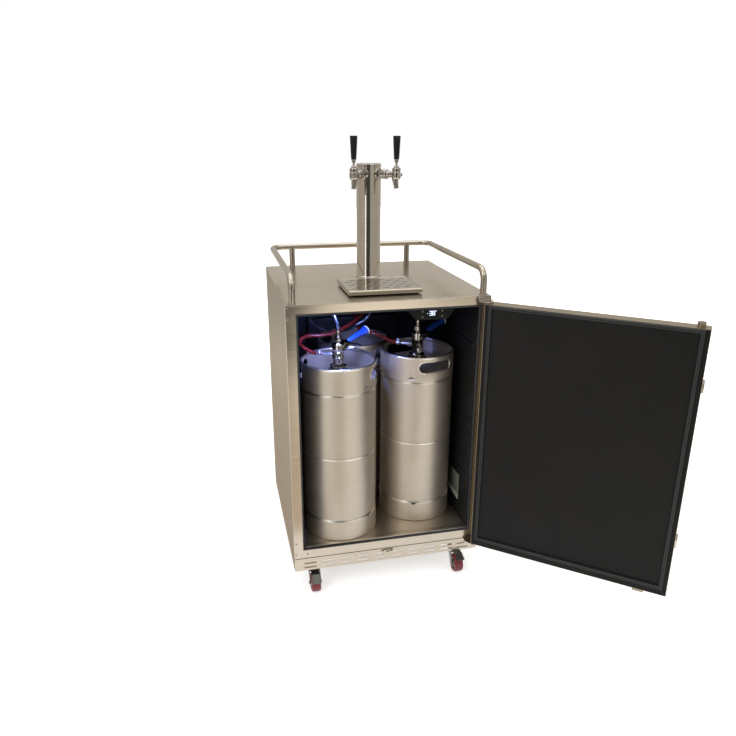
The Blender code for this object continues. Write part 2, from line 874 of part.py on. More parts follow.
def make_cold_parts():
    """The air cover and its fan on the bay's back wall."""
    low = (-cold_cover_width / 2, bay_depth - gap - cold_cover_depth, cold_cover_low)
    high = (cold_cover_width / 2, bay_depth - gap, cold_cover_high)
    cover = box_part("cold_air_cover", low, high, kegerator, black_plastic, cold_cover_edge)
    wall = cold_cover_wall
    back = cold_cover_edge + wall
    cut(cover, box_tool((low[0] + back, low[1] + wall, low[2] + back),
                        (high[0] - back, high[1] + overrun, high[2] - back), kegerator))
    centre = (0, bay_depth - cold_cover_depth, fan_level)
    cut(cover, tool(rod_mesh(fan_hole_radius, cold_cover_depth, 22), kegerator, centre, upright))
    slots = [slot_loop((0, -row * louvre_pitch), louvre_length, louvre_height, 2) for row in range(3)]
    for slot in slots:
        cut(cover, tool(outline_mesh([slot], cold_cover_depth), kegerator,
                        (0, low[1], low[2] + 4 * louvre_pitch), upright))
    spin = pivot("fan_axis", kegerator, (0, bay_depth - gap, fan_level), upright)
    reach = cold_cover_depth - wall - gap
    hub = part("fan_rotor", rod_mesh(fan_hub_radius, reach, 14), spin, black_plastic, (0, 0, reach / 2))
    blade = (fan_radius - fan_hub_radius / 2, fan_blade_depth, fan_blade_thickness)
    for i in range(fan_blades):
        angle = 2 * math.pi * i / fan_blades
        arm = (fan_radius + fan_hub_radius / 2) / 2
        join(hub, tool(box_mesh(blade), spin,
                       (arm * math.cos(angle), arm * math.sin(angle), reach - fan_blade_depth),
                       (math.radians(fan_blade_pitch), 0, angle)))


def make_controls():
    """The control housing under the ceiling, its four buttons and the bay lamp."""
    top = bay_ceiling - gap
    low = top - control_height
    half = control_width / 2
    wide = half + control_flare
    loop = [(control_x - half, low), (control_x + half, low), (control_x + wide, top - control_flare),
            (control_x + wide, top), (control_x - wide, top), (control_x - wide, top - control_flare)]
    housing = part("control_panel", outline_mesh([loop], control_depth), kegerator, black_plastic,
                   (0, control_setback + control_depth / 2, 0), upright)
    display = ((control_x - display_width / 2, control_setback - overrun,
                top - display_drop - display_height / 2),
               (control_x + display_width / 2, control_setback + display_recess,
                top - display_drop + display_height / 2))
    cut(housing, box_tool(*display, kegerator))
    bore_depth = button_length - button_proud + button_travel + gap
    for number, (side, drop) in enumerate((s, d) for d in button_drops for s in (-1, 1)):
        place = (control_x + side * button_spread, control_setback, top - drop)
        bore = rod_mesh(button_radius + gap, 2 * bore_depth, 12)
        cut(housing, tool(bore, kegerator, place, upright))
        push = pivot(f"button_{number + 1}_axis", kegerator, place, upright)
        part(f"control_button_{number + 1}", rod_mesh(button_radius, button_length, 12), push, bright,
             (0, 0, button_proud - button_length / 2))
    lamp_low = (lamp_x - lamp_size[0] / 2, lamp_setback, top - lamp_size[2])
    lamp_high = (lamp_x + lamp_size[0] / 2, lamp_setback + lamp_size[1], top)
    box_part("bay_lamp", lamp_low, lamp_high, kegerator, lamp_blue, lamp_size[2] / 4)


def make_rail():
    """The bent tube round three sides of the top, on two posts at the back."""
    foot = cabinet_top + gap
    level = cabinet_top + rail_height
    corners = [(-rail_half, rail_front, foot), (-rail_half, rail_front, level),
               (-rail_half, rail_back, level), (rail_half, rail_back, level),
               (rail_half, rail_front, level), (rail_half, rail_front, foot)]
    radii = (rail_front_bend, rail_back_bend, rail_back_bend, rail_front_bend)
    path = bent_path(corners, radii, rail_bend_steps)
    rail = part("guard_rail", mesh_of(tube_curve(path, rail_radius, 3)), kegerator, brushed)
    rail.data.shade_smooth()
    for side in (-1, 1):
        post = rod_mesh(rail_radius * 0.9, rail_height - gap, 12)
        join(rail, tool(post, kegerator,
                        (side * (rail_half - rail_post_inset), rail_back, (foot + level) / 2)))


def make_tower():
    """The column with its foot flange, and its cap."""
    inside = tower_radius - tower_wall
    top = tower_height
    points = [(tower_radius, top), (tower_radius, tower_flange + tower_wall),
              (tower_radius + tower_wall, tower_flange), (tower_flange_radius, tower_flange - tower_wall),
              (tower_flange_radius, 0), (inside, 0), (inside, top)]
    stand = (0, tower_setback, cabinet_top + gap)
    column = turned(part("tower_column", profile_mesh(points, True), kegerator, bright, stand), 32)
    for tap in tap_frames.values():
        cut(column, tool(rod_mesh(shank_radius + gap, 2 * tower_wall + 2 * overrun, 16), tap,
                         (tower_radius, 0, 0), across))
    cap = [(0, tower_cap), (tower_radius - tower_wall, tower_cap), (tower_radius, tower_cap - tower_wall),
           (tower_radius, 0), (inside - gap, 0), (inside - gap, -tower_cap_plug),
           (inside - gap - tower_wall, -tower_cap_plug), (inside - gap - tower_wall, 0), (0, 0)]
    place = (0, tower_setback, stand[2] + top + gap)
    turned(part("tower_cap", profile_mesh(cap), kegerator, bright, place), 32)


def make_shank(side, tap):
    """The threaded shank through the column, with the barb that its beer line meets."""
    start = shank_tail_reach - shank_radius
    outside = tower_radius + gap
    points = [(0, shank_nut_end), (shank_radius * 1.3, shank_nut_end),
              (shank_nut_radius, shank_nut_end - sheet), (shank_nut_radius, shank_nut_end - shank_nut),
              (shank_radius * 1.15, shank_nut_end - shank_nut - sheet),
              (shank_radius * 1.15, outside + shank_collar + sheet),
              (shank_collar_radius - sheet, outside + shank_collar), (shank_collar_radius, outside + sheet),
              (shank_collar_radius, outside), (shank_radius, outside), (shank_radius, start), (0, start)]
    shank = turned(part(f"{side}_tap_shank", profile_mesh(points), tap, chrome, (0, 0, 0), across), 18)
    barb = rod_mesh(shank_barb_radius, shank_tail_drop, 10)
    join(shank, tool(barb, tap, (shank_tail_reach, 0, -shank_tail_drop / 2)))


def make_faucet(side, tap):
    """The faucet's body: neck, upright chamber with the ball seat, nub and spout."""
    reach = tap_reach
    chamber = [(0, faucet_ball_height), (faucet_rim_radius - sheet, faucet_ball_height),
               (faucet_rim_radius, faucet_ball_height - sheet),
               (faucet_rim_radius, faucet_ball_height - ball_radius),
               (faucet_body_radius, faucet_ball_height - ball_radius - sheet),
               (faucet_body_radius, -faucet_body_low * 0.6), (faucet_body_radius * 0.7, -faucet_body_low),
               (0, -faucet_body_low)]
    faucet = turned(part(f"{side}_faucet_body", profile_mesh(chamber), tap, chrome, (reach, 0, 0)), 18)
    neck = reach - shank_nut_end - gap
    join(faucet, tool(rod_mesh(faucet_neck_radius, neck, 16), tap,
                      (shank_nut_end + gap + neck / 2, 0, 0), across))
    join(faucet, tool(rod_mesh(faucet_nub_radius, faucet_nub, 10), tap,
                      (reach + faucet_nub / 2, 0, 0), across))
    start = Vector((reach - spout_back, 0, -faucet_body_low / 2))
    tip = Vector((reach + spout_out, 0, -spout_drop))
    way = (tip - start).normalized()
    lean = (0, math.atan2(way.x, way.z), 0)
    spout = rod_mesh(spout_top_radius, (tip - start).length, 16, spout_tip_radius)
    join(faucet, tool(spout, tap, (start + tip) / 2, lean))
    cut(faucet, tool(rod_mesh(spout_bore_radius, 2 * spout_bore_depth, 12), tap, tip, lean))
    cut(faucet, tool(ball_mesh(ball_radius + gap, 16, 8), tap, (reach, 0, faucet_ball_height)))


def make_lever(side, tap):
    """The lever on its ball, with the tapered tap handle."""
    ball = pivot(f"{side}_lever_axis", tap, (tap_reach, 0, faucet_ball_height))
    rise = faucet_ball_height
    lever = part(f"{side}_tap_lever", ball_mesh(ball_radius), ball, chrome)
    rod_top = tap_handle_start - rise - gap
    join(lever, tool(rod_mesh(lever_radius, rod_top, 10), ball, (0, 0, rod_top / 2)))
    ferrule = rod_top - (lever_ferrule_start - rise)
    join(lever, tool(rod_mesh(lever_ferrule_radius * 0.8, ferrule, 14, lever_ferrule_radius), ball,
                     (0, 0, rod_top - ferrule / 2)))
    low = tap_handle_start - rise
    high = tap_handle_end - rise
    points = [(0, high), (tap_handle_top_radius - sheet, high), (tap_handle_top_radius, high - sheet),
              (tap_handle_low_radius, low + sheet), (tap_handle_low_radius - sheet / 2, low), (0, low)]
    turned(part(f"{side}_tap_handle", profile_mesh(points), ball, black_plastic), 20)


def make_tray():
    """The drip tray and the slotted grate that lies in its lip."""
    lift = pivot("tray_axis", kegerator, (0, (tray_front + tray_back) / 2, cabinet_top + gap))
    half_x = tray_width / 2
    half_y = tray_depth / 2
    rim = [(x, y, tray_height) for x in (-half_x, half_x) for y in (-half_y, half_y)]
    upper = [(x, y, tray_height - sheet * 2) for x, y, _ in rim]
    foot = [(x * (1 - tray_flare / half_x), y * (1 - tray_taper / half_y), 0) for x, y, _ in rim]
    tray = part("drip_tray", hull_mesh(rim + upper + foot), lift, bright)
    seat = tray_height - grate_thickness - sheet
    inner_x = half_x - tray_lip
    inner_y = half_y - tray_lip
    cut(tray, box_tool((-inner_x, -inner_y, seat), (inner_x, inner_y, tray_height + overrun), lift))
    well_x = inner_x - tray_flare
    well_y = inner_y - tray_lip - tray_taper / 2
    cut(tray, box_tool((-well_x, -well_y, tray_wall), (well_x, well_y, tray_height), lift))
    raise_grate = pivot("grate_axis", lift, (0, 0, seat + gap))
    edge_x = inner_x - gap
    edge_y = inner_y - gap
    loops = [rect_loop((-edge_x, -edge_y), (edge_x, edge_y))]
    step_x = 2 * (edge_x - grate_margin) / grate_slot_count
    step_y = 2 * (edge_y - grate_margin) / grate_slot_rows
    for row in range(grate_slot_rows):
        shift = step_x / 4 if row % 2 else -step_x / 4
        for column in range(grate_slot_count):
            place = ((column - (grate_slot_count - 1) / 2) * step_x + shift,
                     (row - (grate_slot_rows - 1) / 2) * step_y)
            loops.append(slot_loop(place, grate_slot_length, grate_slot_width, 2))
    part("drip_grate", outline_mesh(loops, grate_thickness), raise_grate, bright,
         (0, 0, grate_thickness / 2))


def make_keg(name, at, turn):
    """A slim keg: rolled rims, skirts with hand slots, a domed head with its valve neck."""
    stand = pivot(f"{name}_stand", kegerator, (at.x, at.y, keg_stand), (0, 0, math.radians(turn)))
    skirt = keg_radius
    body = keg_radius - keg_skirt_step
    inside = keg_radius - keg_skirt_wall
    high = keg_height
    rim = keg_rim_radius
    head = high - keg_head_depth
    points = [(0, high - keg_neck_depth), (keg_neck_radius, high - keg_neck_depth),
              (keg_neck_radius, head + keg_dome), (inside * 0.7, head + keg_dome * 0.55),
              (inside - rim, head), (inside - rim, high - 2 * rim), (inside - rim / 2, high - rim / 3),
              (skirt - rim / 2, high), (skirt, high - rim), (skirt, high - keg_top_skirt + rim / 2),
              (body, high - keg_top_skirt - rim / 2), (body, high - keg_seam_height + rim / 2),
              (body + keg_bead, high - keg_seam_height), (body, high - keg_seam_height - rim / 2),
              (body, keg_bottom_skirt + rim / 2), (skirt, keg_bottom_skirt - rim / 2), (skirt, rim),
              (skirt - rim / 2, 0), (inside - rim / 2, 0), (inside - rim, rim),
              (inside - rim, keg_foot_recess), (0, keg_foot_recess * 0.6)]
    keg = turned(part(name, profile_mesh(points), stand, keg_steel), 28)
    slot = outline_mesh([slot_loop((0, 0), keg_slot_length, keg_slot_height, 3)], keg_diameter + overrun)
    ring = keg_radius * 0.7
    slot_tool = tool(slot, stand, (0, 0, high - keg_slot_drop), (math.pi / 2, 0, math.pi / 2))
    keep = tool(rod_mesh(ring, keg_head_depth, 14), stand, (0, 0, high - keg_slot_drop))
    cut(slot_tool, keep)
    cut(keg, slot_tool)
    drain = rod_mesh(keg_drain_radius, 2 * keg_diameter, 8)
    drain_tool = tool(drain, stand, (0, 0, keg_foot_recess / 2 + keg_drain_radius / 2), across)
    cut(keg, drain_tool)
    return keg


def make_coupler(side, at):
    """A keg coupler: body with gas inlet and relief, and its yoked pull handle."""
    seat = pivot(f"{side}_coupler_seat", kegerator, (at.x, at.y, neck_top + gap),
                 (0, 0, math.radians(coupler_turn)))
    nut_top = coupler_height - coupler_nut_drop
    points = [(0, coupler_height), (coupler_nut_radius * 0.6, coupler_height),
              (coupler_nut_radius * 0.6, nut_top), (coupler_nut_radius, nut_top - sheet),
              (coupler_nut_radius, nut_top - coupler_nut), (coupler_neck_radius, nut_top - coupler_nut),
              (coupler_neck_radius, coupler_band_top), (coupler_band_radius - sheet, coupler_band_top),
              (coupler_band_radius, coupler_band_top - sheet), (coupler_band_radius, coupler_waist_top),
              (coupler_waist_radius, coupler_waist_top - sheet),
              (coupler_waist_radius, coupler_base + sheet), (coupler_base_radius, coupler_base - sheet),
              (coupler_base_radius, 0), (0, 0)]
    body = turned(part(f"{side}_coupler_body", profile_mesh(points), seat, chrome), 18)
    inlet = pivot(f"{side}_inlet", seat, (0, 0, coupler_inlet_height),
                  (0, 0, math.radians(coupler_inlet_turn)))
    join(body, tool(rod_mesh(coupler_inlet_radius, coupler_inlet_reach, 8), inlet,
                    (coupler_inlet_reach / 2, 0, 0), across))
    join(body, tool(rod_mesh(coupler_inlet_nut_radius, coupler_inlet_nut, 6), inlet,
                    (coupler_band_radius + coupler_inlet_nut / 2, 0, 0), across))
    relief = pivot(f"{side}_relief", seat, (0, 0, coupler_inlet_height),
                   (0, 0, math.radians(coupler_relief_turn)))
    join(body, tool(rod_mesh(coupler_relief_radius, coupler_relief_reach, 8), relief,
                    (coupler_relief_reach / 2, 0, 0), across))
    hub = pivot(f"{side}_coupler_axis", seat, (0, 0, coupler_pivot_height),
                (0, math.radians(-coupler_handle_rest), 0))
    cheek = coupler_band_radius + gap
    bridge_start = yoke_reach - yoke_bridge
    handle = part(f"{side}_coupler_handle",
                  box_mesh((yoke_bridge, 2 * (cheek + yoke_thickness), 2 * yoke_half_height)), hub,
                  blue_plastic, (yoke_reach - yoke_bridge / 2, 0, 0))
    for way in (-1, 1):
        faces = sorted((way * cheek, way * (cheek + yoke_thickness)))
        join(handle, box_tool((-yoke_half_height, faces[0], -yoke_half_height),
                              (bridge_start + yoke_bridge / 2, faces[1], yoke_half_height), hub))
    grip = [(0, grip_length), (grip_end_radius - grip_edge, grip_length),
            (grip_end_radius, grip_length - grip_edge), (grip_start_radius, 0), (0, 0)]
    join(handle, turned(tool(profile_mesh(grip), hub, (yoke_reach - sheet, 0, 0), across), 16))


def make_hoses():
    """The gas inlet block on the back wall, two beer lines and two gas hoses."""
    level = manifold_level
    half = manifold_width / 2
    face = bay_depth - gap - manifold_depth
    block = box_part("gas_inlet", (manifold_x - half, face, level - manifold_tall / 2),
                     (manifold_x + half, bay_depth - gap, level + manifold_tall / 2), kegerator, chrome,
                     sheet)
    tail = back_wall + manifold_tail_out + manifold_depth / 2
    join(block, tool(rod_mesh(manifold_tail_radius, tail, 16), kegerator,
                     (manifold_x, cabinet_depth + manifold_tail_out - tail / 2, level), upright))
    for side in (-1, 1):
        join(block, tool(rod_mesh(manifold_port_radius, 2 * manifold_port_length, 12), kegerator,
                         (manifold_x + side * manifold_port_spread, face, level), upright))
    port_y = face - manifold_port_length - gap
    inlet_way = math.radians(coupler_turn + coupler_inlet_turn)
    inlet_level = neck_top + gap + coupler_inlet_height
    for side, keg_at, beer, gas, port in (
            ("left", left_keg_at, left_beer_route, left_gas_route, 1),
            ("right", right_keg_at, right_beer_route, right_gas_route, -1)):
        beer_start = (keg_at.x, keg_at.y, neck_top + coupler_height + 2 * gap)
        tap = tap_frames[side].location
        out = math.radians(tap_bearings[side])
        barb = (tap.x + shank_tail_reach * math.cos(out), tap.y + shank_tail_reach * math.sin(out),
                tap.z - shank_tail_drop - gap)
        beer_lead = (beer_start[0], beer_start[1], beer_start[2] + hose_lead)
        barb_lead = (barb[0], barb[1], barb[2] - hose_lead)
        route = [beer_start, beer_lead] + [(x, y, z + underside) for x, y, z in beer] + [barb_lead, barb]
        path = smooth_path(route, hose_spacing)
        part(f"{side}_beer_line", tube_curve(path, beer_line_diameter / 2), kegerator, clear_hose)
        reach = coupler_inlet_reach + gap
        gas_start = Vector((keg_at.x, keg_at.y, inlet_level))
        out = Vector((math.cos(inlet_way), math.sin(inlet_way), 0))
        gas_end = (manifold_x + port * manifold_port_spread, port_y, level)
        gas_lead = (gas_end[0], port_y - hose_lead, level)
        route = [gas_start + out * reach, gas_start + out * (reach + hose_lead)]
        route += [(x, y, z + underside) for x, y, z in gas] + [gas_lead, gas_end]
        path = smooth_path(route, hose_spacing)
        part(f"{side}_gas_hose", tube_curve(path, gas_hose_diameter / 2), kegerator, red_hose)


def make_hinges():
    """The two hinge brackets on the cabinet, each with its pin."""
    right = half_width
    left = right - hinge_width
    back = -2 * gap
    plate_loop = [(left, back), (left, -hinge_reach / 3), (pivot_x - hinge_corner, -hinge_reach)]
    plate_loop += arc((pivot_x, -hinge_reach + hinge_corner), hinge_corner, -90, 0, 4)
    plate_loop += [(right, -hinge_reach / 3), (right, back)]
    for name, level, way in (("upper_hinge", door_high + upper_hinge_lift + hinge_plate / 2, 1),
                             ("lower_hinge", door_low - upper_hinge_lift - hinge_plate / 2, -1)):
        plate = part(name, outline_mesh([plate_loop], hinge_plate), kegerator, bright, (0, 0, level))
        leg = sorted((level, level + way * hinge_leg))
        join(plate, box_tool((left + sheet, -gap - hinge_leg_thickness, leg[0]),
                             (right - sheet, -gap, leg[1]), kegerator))
        reach = upper_hinge_lift + pin_length + hinge_plate / 2
        join(plate, tool(rod_mesh(pin_radius, reach, 16), kegerator,
                         (pivot_x, pivot_y, level - way * reach / 2)))
        collar = upper_hinge_lift + hinge_plate / 2 - gap
        join(plate, tool(rod_mesh(pin_collar_radius, collar, 16), kegerator,
                         (pivot_x, pivot_y, level - way * collar / 2)))


def make_door():
    """The door, drawn shut against its own pivot and then swung open."""
    swing = pivot("door_axis", kegerator, (pivot_x, pivot_y, 0), (0, 0, math.radians(door_open_angle)))
    left = -door_half - pivot_x
    right = door_half - pivot_x
    inner = -door_gap - pivot_y
    outer = inner - door_thickness
    skin = box_part("door_skin", (left, outer, door_low), (right, inner, door_high), swing, brushed)
    round_door_edges(skin.data)
    cut(skin, box_tool((left + sheet, outer + sheet, door_low + sheet),
                       (right - sheet, inner + overrun, door_high - sheet), swing))
    fill = sheet + gap
    core = box_part("door_liner", (left + fill, outer + fill, door_low + fill),
                    (right - fill, inner, door_high - fill), swing, charcoal)
    chamfer_core(core.data)
    pin_hole = pin_radius + pin_clearance
    depth = pin_length + gap
    for level in (door_low, door_high):
        for body in (skin, core):
            cut(body, tool(rod_mesh(pin_hole, 2 * depth, 16), swing, (0, 0, level)))
    seal_low = (-opening_half - gasket_inset - pivot_x, opening_bottom - gasket_inset)
    seal_high = (opening_half + gasket_inset - pivot_x, opening_top + gasket_inset)
    out_low = (seal_low[0] - gasket_width, seal_low[1] - gasket_width)
    out_high = (seal_high[0] + gasket_width, seal_high[1] + gasket_width)
    proud = door_gap - gap
    thick = gasket_groove + proud
    part("door_gasket", outline_mesh([rect_loop(out_low, out_high), rect_loop(seal_low, seal_high)], thick),
         swing, rubber, (0, inner - gasket_groove + thick / 2, 0), upright)
    groove = outline_mesh([rect_loop((out_low[0] - gap, out_low[1] - gap),
                                     (out_high[0] + gap, out_high[1] + gap)),
                           rect_loop((seal_low[0] + gap, seal_low[1] + gap),
                                     (seal_high[0] - gap, seal_high[1] - gap))],
                          2 * (gasket_groove + gap))
    cut(core, tool(groove, swing, (0, inner, 0), upright))
    bush = rod_mesh(bush_radius, bush_height + sheet / 2, 20)
    centre_y = (inner + outer) / 2
    join(skin, tool(bush, swing, (left + bush_inset, centre_y, door_high + bush_height / 2 - sheet / 4)))
    stop_x = left + stop_bracket_inset
    join(skin, box_tool((stop_x - stop_bracket[0] / 2, centre_y - stop_bracket[1] / 2,
                         door_low - stop_bracket[2]),
                        (stop_x + stop_bracket[0] / 2, centre_y + stop_bracket[1] / 2,
                         door_low + sheet / 2), swing))
    make_door_handle(swing, left + handle_inset, outer)


def round_door_edges(mesh):
    """Rounds the door's two outer upright edges."""
    shape = bmesh.new()
    shape.from_mesh(mesh)
    front = min(vert.co.y for vert in shape.verts)
    edges = [edge for edge in shape.edges
             if all(vert.co.y < front + merge for vert in edge.verts)
             and abs(edge.verts[0].co.z - edge.verts[1].co.z) > door_thickness]
    bmesh.ops.bevel(shape, geom=edges, offset=door_edge, segments=3, profile=0.5, affect="EDGES")
    shape.to_mesh(mesh)
    shape.free()


def chamfer_core(mesh):
    """Clears the core of the skin's round edges."""
    shape = bmesh.new()
    shape.from_mesh(mesh)
    front = min(vert.co.y for vert in shape.verts)
    edges = [edge for edge in shape.edges
             if all(vert.co.y < front + merge for vert in edge.verts)
             and abs(edge.verts[0].co.z - edge.verts[1].co.z) > door_thickness]
    bmesh.ops.bevel(shape, geom=edges, offset=door_edge, segments=1, profile=0.5, affect="EDGES")
    shape.to_mesh(mesh)
    shape.free()


def make_door_handle(swing, x, face):
    """The upright pull bar on its two feet."""
    high = door_high - handle_top_drop
    low = door_high - handle_low_drop
    length = high - low + 2 * handle_overhang
    bar = part("door_handle", rod_mesh(handle_radius, length, 20), swing, bright,
               (x, face - gap - handle_stand, (high + low) / 2))
    wide, tall = handle_foot
    for level in (low, high):
        join(bar, box_tool((x - wide / 2, face - gap - handle_stand, level - tall / 2),
                           (x + wide / 2, face - gap, level + tall / 2), swing))


def make_caster(name, x, y, pedal_up=None):
    """A swivel caster: fork on its head, wheel on its axle and, in front, a brake pedal."""
    swivel = pivot(f"{name}_swivel_axis", kegerator, (x, y, 0))
    head_top = caster_height - gap
    head_low = head_top - caster_head
    fork = part(f"{name}_fork", rod_mesh(caster_head_radius, caster_head, 16), swivel, zinc,
                (0, 0, (head_top + head_low) / 2))
    near = wheel_width / 2 + fork_side_gap
    centre = (-caster_trail, wheel_radius)
    boss = circle_loop(centre, fork_boss_radius, 10)
    half_top = fork_top_length / 2
    top = [(-half_top, head_low + caster_head / 2), (half_top, head_low + caster_head / 2),
           (half_top * 0.6, head_low - caster_head / 2), (-half_top - pedal_pivot_radius, head_low)]
    for side in (-1, 1):
        faces = (side * near, side * (near + fork_plate))
        corners = [(face, a, b) for face in faces for a, b in boss + top]
        join(fork, tool(hull_mesh(corners), swivel))
    axle = 2 * (near + fork_plate) + sheet
    join(fork, tool(rod_mesh(axle_radius, axle, 10), swivel, (0, *centre), across))
    roll = pivot(f"{name}_wheel_axis", swivel, (0, *centre), across)
    half = wheel_width / 2
    bore = axle_radius + axle_clearance
    rim = wheel_radius - wheel_edge
    points = [(wheel_radius, half - wheel_edge), (wheel_radius, wheel_edge - half), (rim, -half),
              (bore, -half), (bore, half), (rim, half)]
    turned(part(f"{name}_wheel", profile_mesh(points, True), roll, red_wheel), 22)
    if pedal_up is not None:
        make_pedal(name, swivel, pedal_up)


def make_pedal(name, swivel, raised):
    """The brake pedal over the wheel, down against it or raised."""
    level = 2 * wheel_radius + pedal_over_wheel
    lean = -math.radians(pedal_travel) if raised else 0
    tread = pivot(f"{name}_pedal_axis", swivel, (0, -pedal_pivot_reach, level), (lean, 0, 0))
    half = pedal_thickness / 2
    loop = [(0, -half), (0, half), (-pedal_flat, half), (-pedal_flat - pedal_tip_out, half - pedal_tip_drop),
            (-pedal_flat - pedal_tip_out, -half - pedal_tip_drop), (-pedal_flat, -half)]
    plate = part(f"{name}_pedal", outline_mesh([loop], pedal_width), tread, zinc, (0, 0, 0),
                 (math.pi / 2, 0, math.pi / 2))
    barrel = wheel_width + 2 * (fork_side_gap - gap)
    join(plate, tool(rod_mesh(pedal_pivot_radius, barrel, 12), tread, (0, 0, 0), across))


tap_bearings = {"left": -90 - tap_angle, "right": -90 + tap_angle}
tap_frames = {side: pivot(f"{side}_tap", kegerator, (0, tower_setback, tap_level),
                          (0, 0, math.radians(bearing)))
              for side, bearing in tap_bearings.items()}

make_skins()
make_front_frame()
make_foam()
make_liner()
make_floor_plate()
make_base()
make_kick_plate()
make_machine()
make_cold_parts()
make_controls()
make_rail()
make_tower()
for tap_side, tap_frame in tap_frames.items():
    make_shank(tap_side, tap_frame)
    make_faucet(tap_side, tap_frame)
    make_lever(tap_side, tap_frame)
make_tray()
for keg_name, keg_at, keg_turn in zip(("left_keg", "right_keg", "rear_keg"),
                                      (left_keg_at, right_keg_at, rear_keg_at), keg_turns):
    make_keg(keg_name, keg_at, keg_turn)
make_coupler("left", left_keg_at)
make_coupler("right", right_keg_at)
make_hoses()
make_hinges()
make_door()
caster_x = half_width - caster_inset
caster_back = cabinet_depth - caster_back_inset
make_caster("front_left_caster", -caster_x, caster_front, False)
make_caster("front_right_caster", caster_x, caster_front, True)
make_caster("rear_left_caster", -caster_x, caster_back)
make_caster("rear_right_caster", caster_x, caster_back)


def centre_over_box():
    """Sets the part over the middle of its own box, standing on z = 0."""
    bpy.context.view_layer.update()
    graph = bpy.context.evaluated_depsgraph_get()
    corners = []
    for body in pieces.objects:
        if body.type == "EMPTY":
            continue
        mesh = bpy.data.meshes.new_from_object(body.evaluated_get(graph))
        corners += [body.matrix_world @ vert.co for vert in mesh.vertices]
        bpy.data.meshes.remove(mesh)
    low = [min(corner[i] for corner in corners) for i in range(3)]
    high = [max(corner[i] for corner in corners) for i in range(3)]
    kegerator.location = (-(low[0] + high[0]) / 2, -(low[1] + high[1]) / 2, -low[2])


centre_over_box()
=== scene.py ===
import json
import math

import bpy
from mathutils import Matrix, Vector


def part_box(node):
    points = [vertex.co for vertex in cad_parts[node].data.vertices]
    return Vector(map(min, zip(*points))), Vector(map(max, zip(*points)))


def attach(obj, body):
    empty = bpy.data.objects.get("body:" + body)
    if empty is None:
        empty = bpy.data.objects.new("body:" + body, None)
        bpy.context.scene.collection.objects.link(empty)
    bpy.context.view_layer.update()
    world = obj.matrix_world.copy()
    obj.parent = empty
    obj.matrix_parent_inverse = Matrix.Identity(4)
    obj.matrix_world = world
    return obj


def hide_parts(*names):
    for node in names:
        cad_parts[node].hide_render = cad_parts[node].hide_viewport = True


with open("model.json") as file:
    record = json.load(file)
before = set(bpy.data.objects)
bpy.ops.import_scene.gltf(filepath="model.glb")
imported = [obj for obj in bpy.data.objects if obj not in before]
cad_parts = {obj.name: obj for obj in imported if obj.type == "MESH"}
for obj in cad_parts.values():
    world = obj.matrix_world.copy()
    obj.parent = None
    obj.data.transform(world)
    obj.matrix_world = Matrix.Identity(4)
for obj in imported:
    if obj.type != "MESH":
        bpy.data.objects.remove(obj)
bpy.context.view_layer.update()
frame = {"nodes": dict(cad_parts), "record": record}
nodes = frame["nodes"]

# The cabinet's own frame: x from its middle, y from its front face, z from the floor
top_low, top_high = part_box("top_panel")
cabinet = Vector(((top_low[0] + top_high[0]) / 2, top_low[1], 0))

# Places that several pieces share, in that frame and in metres
TOP_SHEET = 0.9423  # its upper face
TOWER_Y = 0.295
TAP_AXIS = 1.2753
TAP_REACH = 0.108  # from the tower's middle to a faucet's
LEFT_KEG = (-0.133, 0.130)
RIGHT_KEG = (0.139, 0.190)


def at(x, y, z):
    return cabinet + Vector((x, y, z))


def stand_at(x, y, z):
    return Matrix.Translation(at(x, y, z))


IN_CABINET = stand_at(0, 0, 0)


def turn_z(degrees):
    return Matrix.Rotation(math.radians(degrees), 4, "Z")


def turn_x(degrees):
    return Matrix.Rotation(math.radians(degrees), 4, "X")


def turn_y(degrees):
    return Matrix.Rotation(math.radians(degrees), 4, "Y")


def move(x, y, z):
    return Matrix.Translation((x, y, z))


# Camera

def look():
    """The photograph's view: a little above the taps, from the left."""
    photo_px, focal_px = 736, 677.962
    turn = turn_z(-13.1297) @ turn_x(90 - 18.9562) @ Matrix.Rotation(0.002953, 4, "Z")
    bpy.ops.object.camera_add(location=at(-0.49394, -1.82224, 1.38662))
    camera = bpy.context.object
    camera.rotation_euler = turn.to_euler()
    camera.data.sensor_fit = "HORIZONTAL"
    camera.data.sensor_width = 36
    camera.data.lens = camera.data.sensor_width * focal_px / photo_px
    camera.data.clip_end = 60
    bpy.context.scene.camera = camera


look()


# Shaping tools: turned sections and hose routes are in millimetres, all else in metres

WELD = 0.00001  # points this close are one


def alone(piece):
    """Selects one object and makes it the active one."""
    bpy.ops.object.select_all(action="DESELECT")
    piece.select_set(True)
    bpy.context.view_layer.objects.active = piece


def settle(piece, place=None):
    """Puts a piece's place into its mesh."""
    if place is not None:
        piece.matrix_world = place
    alone(piece)
    bpy.ops.object.transform_apply(location=True, rotation=True, scale=True)
    return piece


def again(piece, name, place):
    """A copy of a piece with a mesh of its own, set in another place."""
    twin = piece.copy()
    twin.data = piece.data.copy()
    twin.name = name
    bpy.context.collection.objects.link(twin)
    return settle(twin, place)


def tidy_edges(piece, width, angle=30):
    """Bevels a piece's sharp edges and smooths its shading."""
    if width:
        soft = piece.modifiers.new("edge", "BEVEL")
        soft.width = width
        soft.segments = 2
        soft.limit_method = "ANGLE"
        soft.angle_limit = math.radians(angle)
        alone(piece)
        bpy.ops.object.modifier_apply(modifier="edge")
    alone(piece)
    bpy.ops.object.shade_smooth_by_angle(angle=math.radians(32))
    return piece


